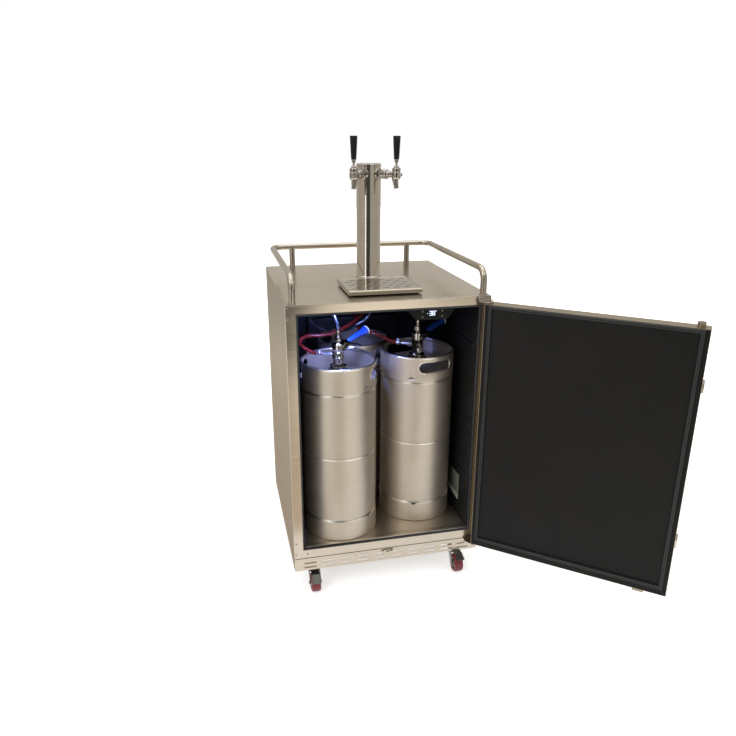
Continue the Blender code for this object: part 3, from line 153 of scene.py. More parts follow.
def point_piece(name, start):
    """One vertex to extrude from, made of a plane merged to its middle."""
    bpy.ops.object.select_all(action="DESELECT")
    bpy.ops.mesh.primitive_plane_add(size=0.001, location=(0, 0, 0))
    piece = bpy.context.object
    piece.name = name
    bpy.ops.object.mode_set(mode="EDIT")
    bpy.ops.mesh.select_all(action="SELECT")
    bpy.ops.mesh.merge(type="CENTER")
    bpy.ops.transform.translate(value=start)
    return piece


def draw_on(points):
    """Extrudes the selected vertex along a row of points."""
    for before, after in zip(points, points[1:]):
        step = [b - a for a, b in zip(before, after)]
        bpy.ops.mesh.extrude_vertices_move(TRANSFORM_OT_translate={"value": step})


def leave_welded():
    """Merges doubled points, turns the faces out and leaves edit mode."""
    bpy.ops.mesh.select_all(action="SELECT")
    bpy.ops.mesh.remove_doubles(threshold=WELD)
    bpy.ops.mesh.normals_make_consistent(inside=False)
    bpy.ops.object.mode_set(mode="OBJECT")


def spun(name, outline, steps=64, edge=0.0, ring=False):
    """A turned piece: its half section, radius and height in mm, spun round the Z axis."""
    points = [(radius / 1000, 0, height / 1000) for radius, height in outline]
    if ring:
        points.append(points[0])
    piece = point_piece(name, points[0])
    draw_on(points)
    bpy.ops.mesh.select_all(action="SELECT")
    bpy.ops.mesh.spin(steps=steps, angle=2 * math.pi, center=(0, 0, 0), axis=(0, 0, 1))
    leave_welded()
    return tidy_edges(piece, edge)


def pressed(name, outline, depth, edge=0.0):
    """A flat outline in XY, filled and extruded along Z."""
    points = [(x, y, 0) for x, y in outline]
    piece = point_piece(name, points[0])
    draw_on(points + points[:1])
    bpy.ops.mesh.select_all(action="SELECT")
    bpy.ops.mesh.remove_doubles(threshold=WELD)
    bpy.ops.mesh.edge_face_add()
    bpy.ops.mesh.extrude_region_move(TRANSFORM_OT_translate={"value": (0, 0, depth)})
    leave_welded()
    return tidy_edges(piece, edge)


def block(name, low, high, edge):
    """A block between two corners, with its edges eased."""
    bpy.ops.object.select_all(action="DESELECT")
    middle = [(a + b) / 2 for a, b in zip(low, high)]
    bpy.ops.mesh.primitive_cube_add(size=1, location=middle)
    piece = bpy.context.object
    piece.name = name
    piece.scale = [b - a for a, b in zip(low, high)]
    settle(piece)
    return tidy_edges(piece, edge)


def round_curve(name, radius, resolution):
    """A round, capped curve with no points yet."""
    curve = bpy.data.curves.new(name, "CURVE")
    curve.dimensions = "3D"
    curve.bevel_depth = radius
    curve.bevel_resolution = resolution
    curve.use_fill_caps = True
    piece = bpy.data.objects.new(name, curve)
    bpy.context.collection.objects.link(piece)
    return piece


def pipe(name, path, radius, closed=False, sides=10):
    """A round bar or wire along a path, made a mesh."""
    piece = round_curve(name, radius, sides // 2)
    line = piece.data.splines.new("POLY")
    line.points.add(len(path) - 1)
    for point, place in zip(line.points, path):
        point.co = (*place, 1)
    line.use_cyclic_u = closed
    alone(piece)
    bpy.ops.object.convert(target="MESH")
    piece = bpy.context.object
    bpy.ops.object.mode_set(mode="EDIT")
    leave_welded()
    return tidy_edges(piece, 0)


def cut_by(piece, *tools):
    """Cuts tools out of a piece and removes them."""
    for cutter in tools:
        step = piece.modifiers.new("cut", "BOOLEAN")
        step.operation = "DIFFERENCE"
        step.object = cutter
        step.solver = "EXACT"
        alone(piece)
        bpy.ops.object.modifier_apply(modifier="cut")
        bpy.data.objects.remove(cutter)
    return piece


def as_one(name, first, *others):
    """Joins pieces into one object."""
    alone(first)
    for other in others:
        other.select_set(True)
    bpy.ops.object.join()
    first.name = name
    return first


def discard(*masters):
    for master in masters:
        bpy.data.objects.remove(master)


def eased(node, width):
    """A copy of a CAD node with its facets merged and its edges rounded, to stand for it."""
    source = nodes[node]
    piece = source.copy()
    piece.data = source.data.copy()
    piece.name = f"eased_{node}"
    bpy.context.collection.objects.link(piece)
    alone(piece)
    bpy.ops.object.mode_set(mode="EDIT")
    bpy.ops.mesh.select_all(action="SELECT")
    bpy.ops.mesh.remove_doubles(threshold=2 * WELD)
    bpy.ops.mesh.dissolve_limited(angle_limit=math.radians(1.5))
    bpy.ops.object.mode_set(mode="OBJECT")
    tidy_edges(piece, width)
    # Large flats keep their own normal, so no crease of light runs to a hole's corner
    flat = piece.modifiers.new("flat", "WEIGHTED_NORMAL")
    flat.keep_sharp = True
    bpy.ops.object.modifier_apply(modifier="flat")
    return worn(piece, finish_of[node], body_of[node], slot_of[node], node)


def worn(piece, finish, body, slot, *stands_for):
    """Gives a piece its finish, the body it rides on and the nodes it stands for."""
    piece.data.materials.clear()
    piece.data.materials.append(finish)
    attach(piece, body)
    if stands_for:
        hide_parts(*stands_for)
    return piece


def set_out(side, *rows):
    """Sets a copy of each master in its place: master, name, place, finish, body, slot, node."""
    for master, name, place, finish, body, slot, node in rows:
        stands_for = [f"{side}_{node}"] if node else []
        worn(again(master, f"{side}_{name}", place), finish, body, slot, *stands_for)


def bow(centre, radius, start, stop, steps):
    """Points on an arc in a piece's half section, in degrees."""
    angles = [math.radians(start + (stop - start) * i / steps) for i in range(steps + 1)]
    return [(centre[0] + radius * math.cos(a), centre[1] + radius * math.sin(a)) for a in angles]


def slot_outline(length, width, steps=8):
    """A slot with round ends, along X."""
    radius = width / 2
    shift = length / 2 - radius
    right = [(shift + x, y) for x, y in bow((0, 0), radius, -90, 90, steps)]
    left = [(x - shift, y) for x, y in bow((0, 0), radius, 90, 270, steps)]
    return right + left


def through(route, spacing):
    """Evenly spaced points on a smooth curve through a route's points."""
    route = [Vector(point) for point in route]
    route = [2 * route[0] - route[1]] + route + [2 * route[-1] - route[-2]]
    fine, fineness = [], 24
    for a, b, c, d in zip(route, route[1:], route[2:], route[3:]):
        for i in range(fineness):
            t = i / fineness
            fine.append(0.5 * ((2 * b) + (c - a) * t + (2 * a - 5 * b + 4 * c - d) * t * t
                               + (3 * b - 3 * c + d - a) * t * t * t))
    fine.append(route[-2])
    lengths = [0.0]
    for a, b in zip(fine, fine[1:]):
        lengths.append(lengths[-1] + (b - a).length)
    count = max(8, round(lengths[-1] / spacing))
    path = []
    place = 0
    for i in range(count + 1):
        target = lengths[-1] * i / count
        while place < len(fine) - 2 and lengths[place + 1] < target:
            place += 1
        part = (target - lengths[place]) / (lengths[place + 1] - lengths[place])
        path.append(fine[place].lerp(fine[place + 1], part))
    return path


# Materials

def linear(code):
    """An sRGB hex colour as linear RGBA."""
    parts = [int(code[i:i + 2], 16) / 255 for i in (0, 2, 4)]
    return [c / 12.92 if c <= 0.04045 else ((c + 0.055) / 1.055) ** 2.4 for c in parts] + [1.0]


def add(tree, kind, inputs=None, **settings):
    """Adds a node with its settings, and with its inputs set or linked."""
    made = tree.nodes.new(kind)
    for name, value in settings.items():
        setattr(made, name, value)
    for name, value in (inputs or {}).items():
        socket = made.inputs[name]
        if isinstance(value, bpy.types.NodeSocket):
            tree.links.new(value, socket)
        else:
            socket.default_value = value
    return made


def surface(name, **fixed):
    """A new material and its shader, with the values that are the same all over."""
    made = bpy.data.materials.new(name)
    made.use_nodes = True
    shader = made.node_tree.nodes["Principled BSDF"]
    for key, value in fixed.items():
        shader.inputs[key.replace("_", " ")].default_value = value
    return made, made.node_tree, shader


def show(tree, shader, mixed, colours, low, rough_by, rough, relief_by, bump, deep):
    """Links a shader's colour, roughness and bump to the patterns that drive them."""
    ramp = add(tree, "ShaderNodeValToRGB", {"Fac": mixed.outputs[0]})
    for end, place, colour in zip(ramp.color_ramp.elements, (low, 1 - low), colours):
        end.position = place
        end.color = linear(colour)
    spread = add(tree, "ShaderNodeMapRange", {
        "Value": rough_by.outputs[0], "From Min": low, "From Max": 1 - low,
        "To Min": rough[0], "To Max": rough[1]})
    relief = add(tree, "ShaderNodeBump", {
        "Height": relief_by.outputs[0], "Strength": bump, "Distance": deep})
    for made, socket in ((ramp, "Base Color"), (spread, "Roughness"), (relief, "Normal")):
        tree.links.new(made.outputs[0], shader.inputs[socket])


def metal(name, dark, light, rough, grain_mm, bump=0.06, patch_mm=90, metallic=1.0):
    """Rolled or drawn metal: streaks along the way it was worked, and faint larger patches."""
    made, tree, shader = surface(name, Metallic=metallic)
    where = add(tree, "ShaderNodeTexCoord").outputs["Object"]
    scale = [1000 / mm for mm in grain_mm]
    streaks = add(tree, "ShaderNodeMapping", {"Vector": where, "Scale": scale})
    grain = add(tree, "ShaderNodeTexNoise", {
        "Vector": streaks.outputs[0], "Scale": 1.0, "Detail": 5.0, "Roughness": 0.6})
    patch = add(tree, "ShaderNodeTexNoise", {
        "Vector": where, "Scale": 1000 / patch_mm, "Detail": 2.0})
    mixed = add(tree, "ShaderNodeMix", {
        "Factor": 0.35, "A": grain.outputs[0], "B": patch.outputs[0]})
    show(tree, shader, mixed, (dark, light), 0.3, mixed, rough, grain, bump, 0.0004)
    return made


def moulded(name, dark, light, rough, spot_mm, bump=0.15, **fixed):
    """Moulded plastic, rubber or paint: a fine grain, and a faint unevenness of its colour."""
    made, tree, shader = surface(name, **fixed)
    where = add(tree, "ShaderNodeTexCoord").outputs["Object"]
    cloud_mm = 120
    spots = add(tree, "ShaderNodeTexNoise", {
        "Vector": where, "Scale": 1000 / spot_mm, "Detail": 3.0})
    cloud = add(tree, "ShaderNodeTexNoise", {
        "Vector": where, "Scale": 1000 / cloud_mm, "Detail": 2.0})
    mixed = add(tree, "ShaderNodeMix", {
        "Factor": 0.5, "A": spots.outputs[0], "B": cloud.outputs[0]})
    show(tree, shader, mixed, (dark, light), 0.35, spots, rough, spots, bump, 0.0003)
    return made


# Rolled sheet brushed along the cabinet's width: a soft sheen, with streaks drawn 4 mm wide to show
sheet_steel = metal("brushed stainless sheet", "C2B8A8", "D0C6B6", (0.20, 0.27), (220, 220, 4))
# The same sheet on the sides, with its grain running front to back, in a darker colour than the
# top: painted shade
side_steel = metal("brushed stainless side sheet", "948875", "A39783", (0.32, 0.44), (220, 260, 5))
# The front frame's sheet is smoother than the sides, so it shows the light and dark before it
front_steel = metal("brushed stainless front sheet", "B5AA99", "C3B8A7", (0.16, 0.24),
                    (200, 200, 3))
# The loose floor sheet of the bay: smooth enough to show the kegs on it, and lighter than the other
# sheets: painted light
floor_steel = metal("stainless floor sheet", "E0D6C6", "EBE1D1", (0.32, 0.40), (220, 220, 4))
# The drip tray is buffed to a near mirror
tray_steel = metal("buffed stainless tray", "B4AC9F", "C0B8AB", (0.05, 0.09), (40, 40, 40),
                   bump=0.01)
# Its well, and the walls of the grate's slots, are dull and painted dark: painted shade where they
# lie in shadow
tray_well = metal("shade_painted stainless well", "3C362F", "4E473E", (0.35, 0.50), (25, 25, 25))
# Drawn and pickled keg steel: a matt, cloudy skin that also scatters a little light
keg_steel = metal("pickled stainless", "B6AB9C", "C1B6A7", (0.42, 0.52), (60, 60, 25),
                  bump=0.01, patch_mm=70, metallic=0.86)
# Rims, seams and lips of the kegs, in a lighter steel: a painted highlight where their edges catch
# the light
rubbed_steel = metal("rubbed stainless edge", "DCD5CA", "EAE3D8", (0.28, 0.36), (40, 40, 40),
                     bump=0.01)
# Polished tube: a near mirror with faint draw lines along it
polished_steel = metal("polished stainless tube", "BDB4A8", "C8C0B4", (0.09, 0.15), (5, 5, 200),
                       bump=0.02)
# Satin tube of the guard rail
satin_tube = metal("satin stainless tube", "ABA294", "B8AFA1", (0.20, 0.27), (90, 90, 90),
                   bump=0.01)
# Plated brass fittings: bright, slightly warm, with soft hand marks
chrome_plate = metal("bright nickel-chrome plate", "938D84", "ABA59C", (0.05, 0.12), (30, 30, 30),
                     bump=0.01)
# Hose barbs and clamps: satin nickel, which takes up the lamp's blue
satin_nickel = metal("satin nickel", "CCC9C3", "DCD9D3", (0.32, 0.42), (20, 20, 20), bump=0.02)
# Zinc-plated pressed steel: greyer, with a dull bloom
zinc_plate = metal("bright zinc plate", "8E8D89", "A7A6A1", (0.26, 0.42), (14, 14, 14))
# The brake pedals and push buttons take a darker zinc plate
worn_zinc = metal("worn zinc plate", "55544F", "6E6D68", (0.28, 0.46), (9, 9, 9))
# Vacuum-formed bay lining: nearly black, satin, with a fine pebble
liner_plastic = moulded("black polystyrene lining", "111213", "1A1B1A", (0.34, 0.46), 2.5)
# Door panel: charcoal with a faint brown cast and a dry sheen
door_panel = moulded("charcoal polystyrene panel", "0C0B09", "12100D", (0.50, 0.62), 2.2,
                     Specular_IOR_Level=0.2)
# Gasket rubber: darker than the panel and quite matt
gasket_rubber = moulded("black gasket vinyl", "171917", "1F211E", (0.5, 0.65), 1.5)
# Tap handles and fan: black plastic with a soft shine
black_plastic = moulded("black ABS", "050505", "090909", (0.26, 0.34), 2.0, bump=0.02,
                        Specular_IOR_Level=0.35)
# Control housing: the same plastic with a dry, fine texture
dry_plastic = moulded("textured black ABS", "080808", "0D0D0C", (0.45, 0.60), 1.2,
                      Specular_IOR_Level=0.2)
# White end of the coupler grips
white_plastic = moulded("white acetal", "CFCBD0", "DEDADF", (0.25, 0.35), 2.0, bump=0.03)
# Wheels: dark red polyurethane, slightly dusty
red_wheel = moulded("red polyurethane", "5C1418", "7A1F26", (0.30, 0.48), 3.0)
# Coupler grips: glossy blue plastic
blue_grip = moulded("blue polypropylene", "0A2766", "133A88", (0.22, 0.32), 2.5, bump=0.05)
# Gas hose: dark red PVC with a soft shine
gas_hose = moulded("red PVC hose", "5C1715", "74211E", (0.14, 0.22), 2.0)
# Beer line: clear PVC, a little grey with beer in it, so the dark bay shows through
beer_line = moulded("clear PVC line", "303239", "3E4147", (0.08, 0.14), 4.0, bump=0.02,
                    Transmission_Weight=0.6)
# Foam, only seen where panels meet
foam_core = moulded("polyurethane foam", "B9AA80", "CDBF95", (0.8, 0.9), 1.5)
# Painted compressor shell
black_enamel = moulded("black enamel", "0B0B0B", "101010", (0.18, 0.26), 3.0, bump=0.04)
# Blank label stock on the bay wall, with a paler band along its foot
label_stock = moulded("grey label film", "5E6057", "6C6E65", (0.40, 0.55), 3.0, bump=0.03)
label_band = moulded("pale label band", "9C998E", "A9A69B", (0.40, 0.55), 3.0, bump=0.03)
# Lit display segments: cool white
lit_digits = surface("lit display segments", Roughness=0.4, Emission_Strength=2.2,
                     Base_Color=linear("101216"), Emission_Color=linear("D5DFFF"))[0]
# Lamp cover: blue light behind a clear lens
lamp_lens = surface("lit blue lens", Roughness=0.3, Emission_Strength=6.0,
                    Base_Color=linear("5B7BFF"), Emission_Color=linear("4F6DFF"))[0]

FINISHES = {name: finish for finish, names in (
    (sheet_steel, "top_panel back_panel"), (floor_steel, "floor_plate"),
    (side_steel, "left_side_panel right_side_panel base_frame door_skin"),
    (front_steel, "kick_plate front_frame"), (foam_core, "cabinet_foam"),
    (liner_plastic, "inner_liner cold_air_cover"), (black_enamel, "compressor"),
    (black_plastic, "fan_rotor"), (dry_plastic, "control_panel"), (lamp_lens, "bay_lamp"),
    (satin_tube, "guard_rail"), (tray_steel, "drip_tray drip_grate"),
    (polished_steel, "tower_column tower_cap upper_hinge lower_hinge door_handle"),
    (door_panel, "door_liner"), (gasket_rubber, "door_gasket"),
) for name in names.split()}
# The rest, by the first of these words that is in its name
BY_WORD = (
    ("button", worn_zinc), ("pedal", worn_zinc), ("keg", keg_steel), ("tap_handle", black_plastic),
    ("coupler_handle", blue_grip), ("beer_line", beer_line), ("gas_hose", gas_hose),
    ("wheel", red_wheel), ("caster", zinc_plate), ("", chrome_plate),
)
finish_of = {}
for name, solid in nodes.items():
    by_word = next(finish for word, finish in BY_WORD if word in name)
    finish_of[name] = FINISHES.get(name, by_word)
    solid.data.materials.clear()
    solid.data.materials.append(finish_of[name])
slot_of = {item["node"]: item["material_slot"] for item in frame["record"]["subparts"]}
bodies = frame["record"]["behaviour"]["bodies"]
body_of = {node: body for body, held in bodies.items() for node in held}


# Cords: the two beer lines and the two gas hoses, on the routes of the part's source

# Diameter, finish, material slot, and spacing of the points along it
BEER = (0.0095, beer_line, "clear_beer_line", 0.026)
GAS = (0.0115, gas_hose, "red_gas_hose", 0.022)
ROUTES = {
    "left_beer_line": (
        (-133, 130, 818.2), (-133, 130, 836.2), (-137, 133, 858), (-151, 149, 884),
        (-179, 184, 893), (-200, 228, 876), (-203, 268, 842), (-184, 297, 806), (-146, 312, 779),
        (-106, 314, 770), (-71, 310, 775), (-40, 305, 790), (-14, 301, 806), (2, 300, 819),
        (9, 299, 842), (8, 298, 872), (1, 296, 906), (-9, 288, 945), (-16.5, 276, 990),
        (-18.1, 271, 1040), (-18.1, 271, 1150), (-18.05, 271.04, 1227), (-18.05, 271.04, 1245)),
    "right_beer_line": (
        (139, 190, 818.2), (139, 190, 836.2), (140, 194, 866), (138, 212, 888), (118, 243, 892),
        (82, 268, 880), (48, 282, 873), (26, 285, 886), (18, 283, 918), (16.5, 278, 960),
        (17.8, 272, 1010), (18.1, 271, 1070), (18.1, 271, 1150), (18.05, 271.04, 1227),
        (18.05, 271.04, 1245)),
    "left_gas_hose": (
        (-180.89, 157.65, 746.4), (-196.48, 166.65, 746.4), (-216, 178, 752), (-233, 194, 761),
        (-238.5, 215.5, 769), (-230, 236, 775), (-208, 249, 779), (-176, 253, 778),
        (-131, 256, 780), (-91, 266, 793), (-51, 291, 806), (-16, 329, 818), (12, 373, 826),
        (29, 422, 828), (35, 470, 822), (35, 513.44, 815), (35, 531.44, 815)),
    "right_gas_hose": (
        (91.11, 217.65, 746.4), (75.52, 226.65, 746.4), (58, 235, 753), (36, 244, 763),
        (12, 257, 772), (-10, 277, 777), (-24, 304, 776), (-29, 335, 776), (-27, 370, 780),
        (-20, 410, 791), (-12, 450, 804), (-7, 483, 812), (-5, 513.44, 815), (-5, 531.44, 815)),
}


def lay_hose(node, route):
    """A hose as one smooth open line from its coupler."""
    diameter, finish, slot, spacing = BEER if "beer" in node else GAS
    path = through([at(x / 1000, y / 1000, z / 1000) for x, y, z in route], spacing)
    hose = round_curve(f"laid_{node}", diameter / 2, 7)
    hose.data.resolution_u = 8
    line = hose.data.splines.new("BEZIER")
    line.bezier_points.add(len(path) - 1)
    for point, place in zip(line.bezier_points, path):
        point.co = place
        point.handle_left_type = point.handle_right_type = "AUTO"
    worn(hose, finish, "cabinet", slot, node)
    return path


hose_paths = {node: lay_hose(node, route) for node, route in ROUTES.items()}


# Kegs

# Stands a flat outline in XY across X, its depth running outwards
FACE_OUT = Matrix(((0, 0, 1, 0), (1, 0, 0, 0), (0, 1, 0, 0), (0, 0, 0, 1)))
KEG_FOOT = 0.1626  # the bay's floor
NOTCH_TURN, DRAIN_TURN = 140.5, 148  # from a hand slot, in degrees


def make_kegs():
    """Three slim kegs: a spun shell with rolled rims and hand slots with rolled lips."""
    top = 0.575
    rim = 1000 * top

    def under_rim(outline):
        return [(radius, rim - drop) for radius, drop in outline]

    shell = under_rim([
        (0, 35.5), (29, 35.5), (31.2, 37), (31.8, 44), (34.5, 46.2), (52, 48), (78, 52.5),
        (97, 58), (106.5, 64), (111.2, 71.5), (112.8, 73.5), (115, 70), (115, 12)])
    shell += bow((114.6, rim - 4.4), 4.4, 200, -20, 9)
    shell += under_rim([
        (119, 76.3), (119, 77.5), (118.6, 79.4), (116.8, 80.2), (116, 81.2), (116, 82),
        (117.4, 86), (117.5, 87.6), (117.5, 89), (117.5, 285.8), (117.6, 287.2), (118.4, 289),
        (118.3, 290.2), (116.8, 291.4), (116.7, 292.2), (117.5, 295.2), (117.5, 296.6)])
    shell += [
        (117.5, 75.6), (117.4, 74.6), (116.3, 73.6), (116.1, 72.6), (117, 70.4), (118.6, 67.8),
        (119, 66.4), (119, 65)]
    shell += bow((115.4, 3.6), 3.6, 20, -200, 9)
    shell += [(115.2, 12), (115.2, 22), (110, 23.5), (90, 16), (50, 11.5), (0, 10)]
    keg = spun("keg_shell", shell, 96)
    slot_middle = top - 0.034
    for side in (0, 180):
        hole = pressed("hole", slot_outline(0.113, 0.035), 0.05)
        settle(hole, turn_z(side) @ move(0.085, 0, slot_middle) @ FACE_OUT)
        notch = pressed("notch", [
            (-0.0102, -0.0022), (0, 0.0036), (0.0102, -0.0022), (0.0058, -0.0034), (0, -0.0006),
            (-0.0058, -0.0034)], 0.02)
        settle(notch, turn_z(side + NOTCH_TURN) @ move(0.1140, 0, top - 0.0660) @ FACE_OUT)
        drain = pressed("drain", [
            (-0.0085, 0.0030), (-0.0060, -0.0012), (0, -0.0036), (0.0060, -0.0012),
            (0.0085, 0.0030)], 0.03)
        settle(drain, turn_z(side + DRAIN_TURN) @ move(0.1000, 0, 0.0652) @ FACE_OUT)
        cut_by(keg, hole, notch, drain)
    tidy_edges(keg, 0.0005, angle=45)
    lips = []
    lip_on, bulge_on = 0.1176, 0.1182  # radius of the shell that each follows
    for side in (0, 180):
        edge = [(math.sqrt(lip_on ** 2 - y * y), y, slot_middle + z)
                for y, z in slot_outline(0.1158, 0.0378, 12)]
        lips.append(settle(pipe("lip", edge, 0.0025, closed=True), turn_z(side)))
        under = [(bulge_on * math.cos(y / bulge_on), y, top - 0.0738 + 12 * y * y)
                 for y in [0.001 * step for step in range(-10, 11)]]
        lips.append(settle(pipe("bulge", under, 0.0017), turn_z(side + NOTCH_TURN)))
    keg = as_one("keg_master", keg, *lips)
    # Bands of faces on the rims, seams and lips, which take the lighter steel of the painted
    # highlight
    bands = ((top - 0.0078, top), (top - 0.0880, top - 0.0812), (top - 0.2952, top - 0.2922),
             (0.0664, 0.0716))
    rubbed = []  # faces of the rims, seams and lips
    for face in keg.data.polygons:
        height, reach = face.center.z, math.hypot(face.center.x, face.center.y)
        in_band = any(low <= height <= high for low, high in bands) and reach > 0.1100
        lip = reach > 0.1172 and top - 0.060 < height < top - 0.010 and abs(face.center.y) < 0.066
        if in_band or reach > 0.1192 or (lip and face.area < 0.00002):
            rubbed.append(face.index)
    seal = spun("seal_master", under_rim([
        (26.2, 35.4), (30, 35.4), (30, 33.6), (29.2, 32.8), (27, 32.8),
        (26.2, 33.6)]), 48, ring=True)
    for node, x, y, turn in (("left_keg", *LEFT_KEG, -16), ("right_keg", *RIGHT_KEG, -75),
                             ("rear_keg", -0.040288, 0.356241, -35)):
        stand = stand_at(x, y, KEG_FOOT) @ turn_z(turn)
        shell = worn(again(keg, f"spun_{node}", stand), keg_steel, "cabinet",
                     "matt_drawn_stainless_steel", node)
        # Painted highlight: the rims, seams and lips get the lighter steel
        shell.data.materials.append(rubbed_steel)
        for index in rubbed:
            shell.data.polygons[index].material_index = 1
        worn(again(seal, f"{node}_neck_seal", stand), gasket_rubber, "cabinet",
             "black_gasket_rubber")
    discard(keg, seal)


make_kegs()


# Tower and taps

def make_tower():
    """The tower's tube with its rolled foot, and its lid."""
    stand = stand_at(0, TOWER_Y, TOP_SHEET)
    column = spun("tower_tube", [
        (38, 356), (38, 18.6), (38.4, 17.6), (39.6, 16.8), (40, 15), (40, 5.2), (43.6, 4.6),
        (46, 3.4), (46, 0), (36.5, 0), (36.5, 356)], 96, 0.0003, ring=True)
    worn(settle(column, stand), polished_steel, "cabinet", "polished_stainless_steel",
         "tower_column")
    cap = spun("tower_lid", [(0, 6.5), (35.2, 6.5), (37.1, 6), (38, 4.7), (38, 0.3), (0, 0.3)], 96)
    worn(settle(cap, stand @ move(0, 0, 0.3563)), polished_steel, "cabinet",
         "polished_stainless_steel", "tower_cap")


make_tower()


def press_flutes(piece, low, high, least, every, share):
    """Presses every so manyth upright row of a turned piece inwards, between two heights."""
    for vert in piece.data.vertices:
        way = math.degrees(math.atan2(vert.co.y, vert.co.x)) % 360
        in_row = round(way / (360 / every)) % 2 == 0
        reach = math.hypot(vert.co.x, vert.co.y)
        vert.select = in_row and low < vert.co.z < high and reach > least
    for part in (*piece.data.edges, *piece.data.polygons):
        part.select = False
    alone(piece)
    bpy.ops.object.mode_set(mode="EDIT")
    bpy.context.tool_settings.mesh_select_mode = (True, False, False)
    bpy.ops.transform.resize(value=(share, share, 1), center_override=(0, 0, 0))
    bpy.ops.object.mode_set(mode="OBJECT")


def make_taps():
    """Shank, coupling nut, faucet, lever and fluted handle, made once and set twice."""
    out = turn_y(90)
    shank = spun("shank", [
        (0, 34.5), (15, 34.5), (16.3, 35.6), (16.5, 36.6), (16.5, 41.6), (15.7, 43.4),
        (11.2, 44.2), (9.8, 44.8), (9.8, 60), (0, 60)], 48)
    nut = spun("nut", [
        (6, 56.2), (12.8, 56.2), (14.1, 57.8), (14.5, 61), (14.5, 69), (14.1, 72.6), (12.9, 74.4),
        (6, 74.4)], 72, ring=True)
    for i in range(6):
        notch = spun("notch", [(0, 50), (2.1, 50), (2.1, 80), (0, 80)], 16)
        cut_by(nut, settle(notch, turn_z(60 * i) @ move(0.0150, 0, 0)))
    tidy_edges(nut, 0.0003)
    shank = settle(as_one("shank_master", shank, nut), out)
    neck = spun("neck", [
        (0, 74.8), (10.6, 74.8), (11.4, 75.8), (11.4, 77.6), (10.4, 79), (9.4, 84), (9.2, 92),
        (10, 100), (10, 108), (0, 108)], 40)
    nub = spun("nub", [
        (0, 108), (7.2, 108), (7.2, 119.6), (5.8, 120.6), (5, 121.4), (5, 126.2), (4.2, 127.8),
        (0, 128)], 32)
    chamber = spun("chamber", [
        (0, -15), (7.8, -14.8), (11.2, -12.4), (12.8, -8), (13, -3), (13, 5.8), (12.2, 7.8),
        (11.4, 8.6), (11.4, 10.2), (12.4, 10.8), (12.6, 11.6), (12.6, 16.8), (11.8, 18.4),
        (10.2, 20), (9.2, 20.5), (8.6, 20.1), (8.4, 15), (0, 13)], 48)
    press_flutes(chamber, 0.0112, 0.0172, 0.0120, 48, 0.955)
    spout = spun("spout", [
        (0, -2), (10, -2), (9.6, 6), (8.4, 14), (7.4, 21.5), (6.9, 29), (7, 31.2), (6.9, 32.7),
        (6.4, 33.1), (5, 32.9), (4.8, 20), (0, 20)], 40)
    settle(spout, move(0.103, 0, -0.0075) @ turn_y(169.54))
    faucet = as_one("faucet_master", settle(neck, out), settle(nub, out),
                    settle(chamber, move(TAP_REACH, 0, 0)), spout)
    lever = spun("lever", bow((0, 20.5), 8, -90, 64, 12) + [
        (3.2, 28.6), (3, 33), (4.8, 33.8), (5.2, 34.6), (5.2, 35.6), (4.4, 36.2), (5, 36.8),
        (6, 37.6), (6.3, 41.8), (6, 42.6), (0, 42.7)], 40)
    settle(lever, move(TAP_REACH, 0, 0))
    handle = spun("handle", [
        (0, 43.1), (6.6, 43.1), (7.5, 43.7), (7.8, 45.2), (8, 48), (9.2, 70), (10.2, 90),
        (11, 106), (11.2, 108.2), (10.9, 109.4), (10.1, 110), (0, 110)], 64)
    press_flutes(handle, 0.0460, 0.1070, 0.0050, 32, 0.92)
    settle(handle, move(TAP_REACH, 0, 0))
    for side, bearing in (("left", -127), ("right", -53)):
        tap, pulled = stand_at(0, TOWER_Y, TAP_AXIS) @ turn_z(bearing), f"{side}_tap"
        set_out(
            side,
            (shank, "shank_and_nut", tap, chrome_plate, "cabinet", "chrome_plate", "tap_shank"),
            (faucet, "faucet", tap, chrome_plate, "cabinet", "chrome_plate", "faucet_body"),
            (lever, "lever", tap, chrome_plate, pulled, "chrome_plate", "tap_lever"),
            (handle, "fluted_handle", tap, black_plastic, pulled, "black_moulded_plastic",
             "tap_handle"))
    discard(shank, faucet, lever, handle)


make_taps()


# Guard rail

def make_rail():
    """The bent tube on its two back posts, with a thin washer under each front foot."""
    level, foot, side, front, back = 1.017, TOP_SHEET, 0.283, 0.015, 0.555
    corners = [
        (-side, front, foot), (-side, front, level), (-side, back, level), (side, back, level),
        (side, front, level), (side, front, foot)]
    path = [Vector(corners[0])]
    for before, corner, after, radius in zip(corners, corners[1:], corners[2:],
                                             (0.036, 0.040, 0.040, 0.036)):
        corner = Vector(corner)
        came = (Vector(before) - corner).normalized()
        goes = (Vector(after) - corner).normalized()
        centre = corner + (came + goes) * radius
        for i in range(15):
            swing = math.radians(90 * i / 14)
            path.append(centre - goes * radius * math.cos(swing) - came * radius * math.sin(swing))
    path.append(Vector(corners[-1]))
    bar = pipe("rail_bar", [at(*point) for point in path], 0.010, sides=24)
    feet = []
    for x in (-0.214, 0.203):
        post = spun("post", [(0, 0), (9.9, 0), (9.9, 72), (0, 72)], 40)
        feet.append(settle(post, stand_at(x, back, foot)))
    for x in (-side, side):
        washer = spun("washer", [(0, 0), (12.6, 0), (12.8, 0.8), (12.2, 1.6), (0, 1.6)], 40)
        feet.append(settle(washer, stand_at(x, front, foot)))
    worn(as_one("rail_tube", bar, *feet), satin_tube, "cabinet", "brushed_stainless_steel",
         "guard_rail")


make_rail()


# Couplers

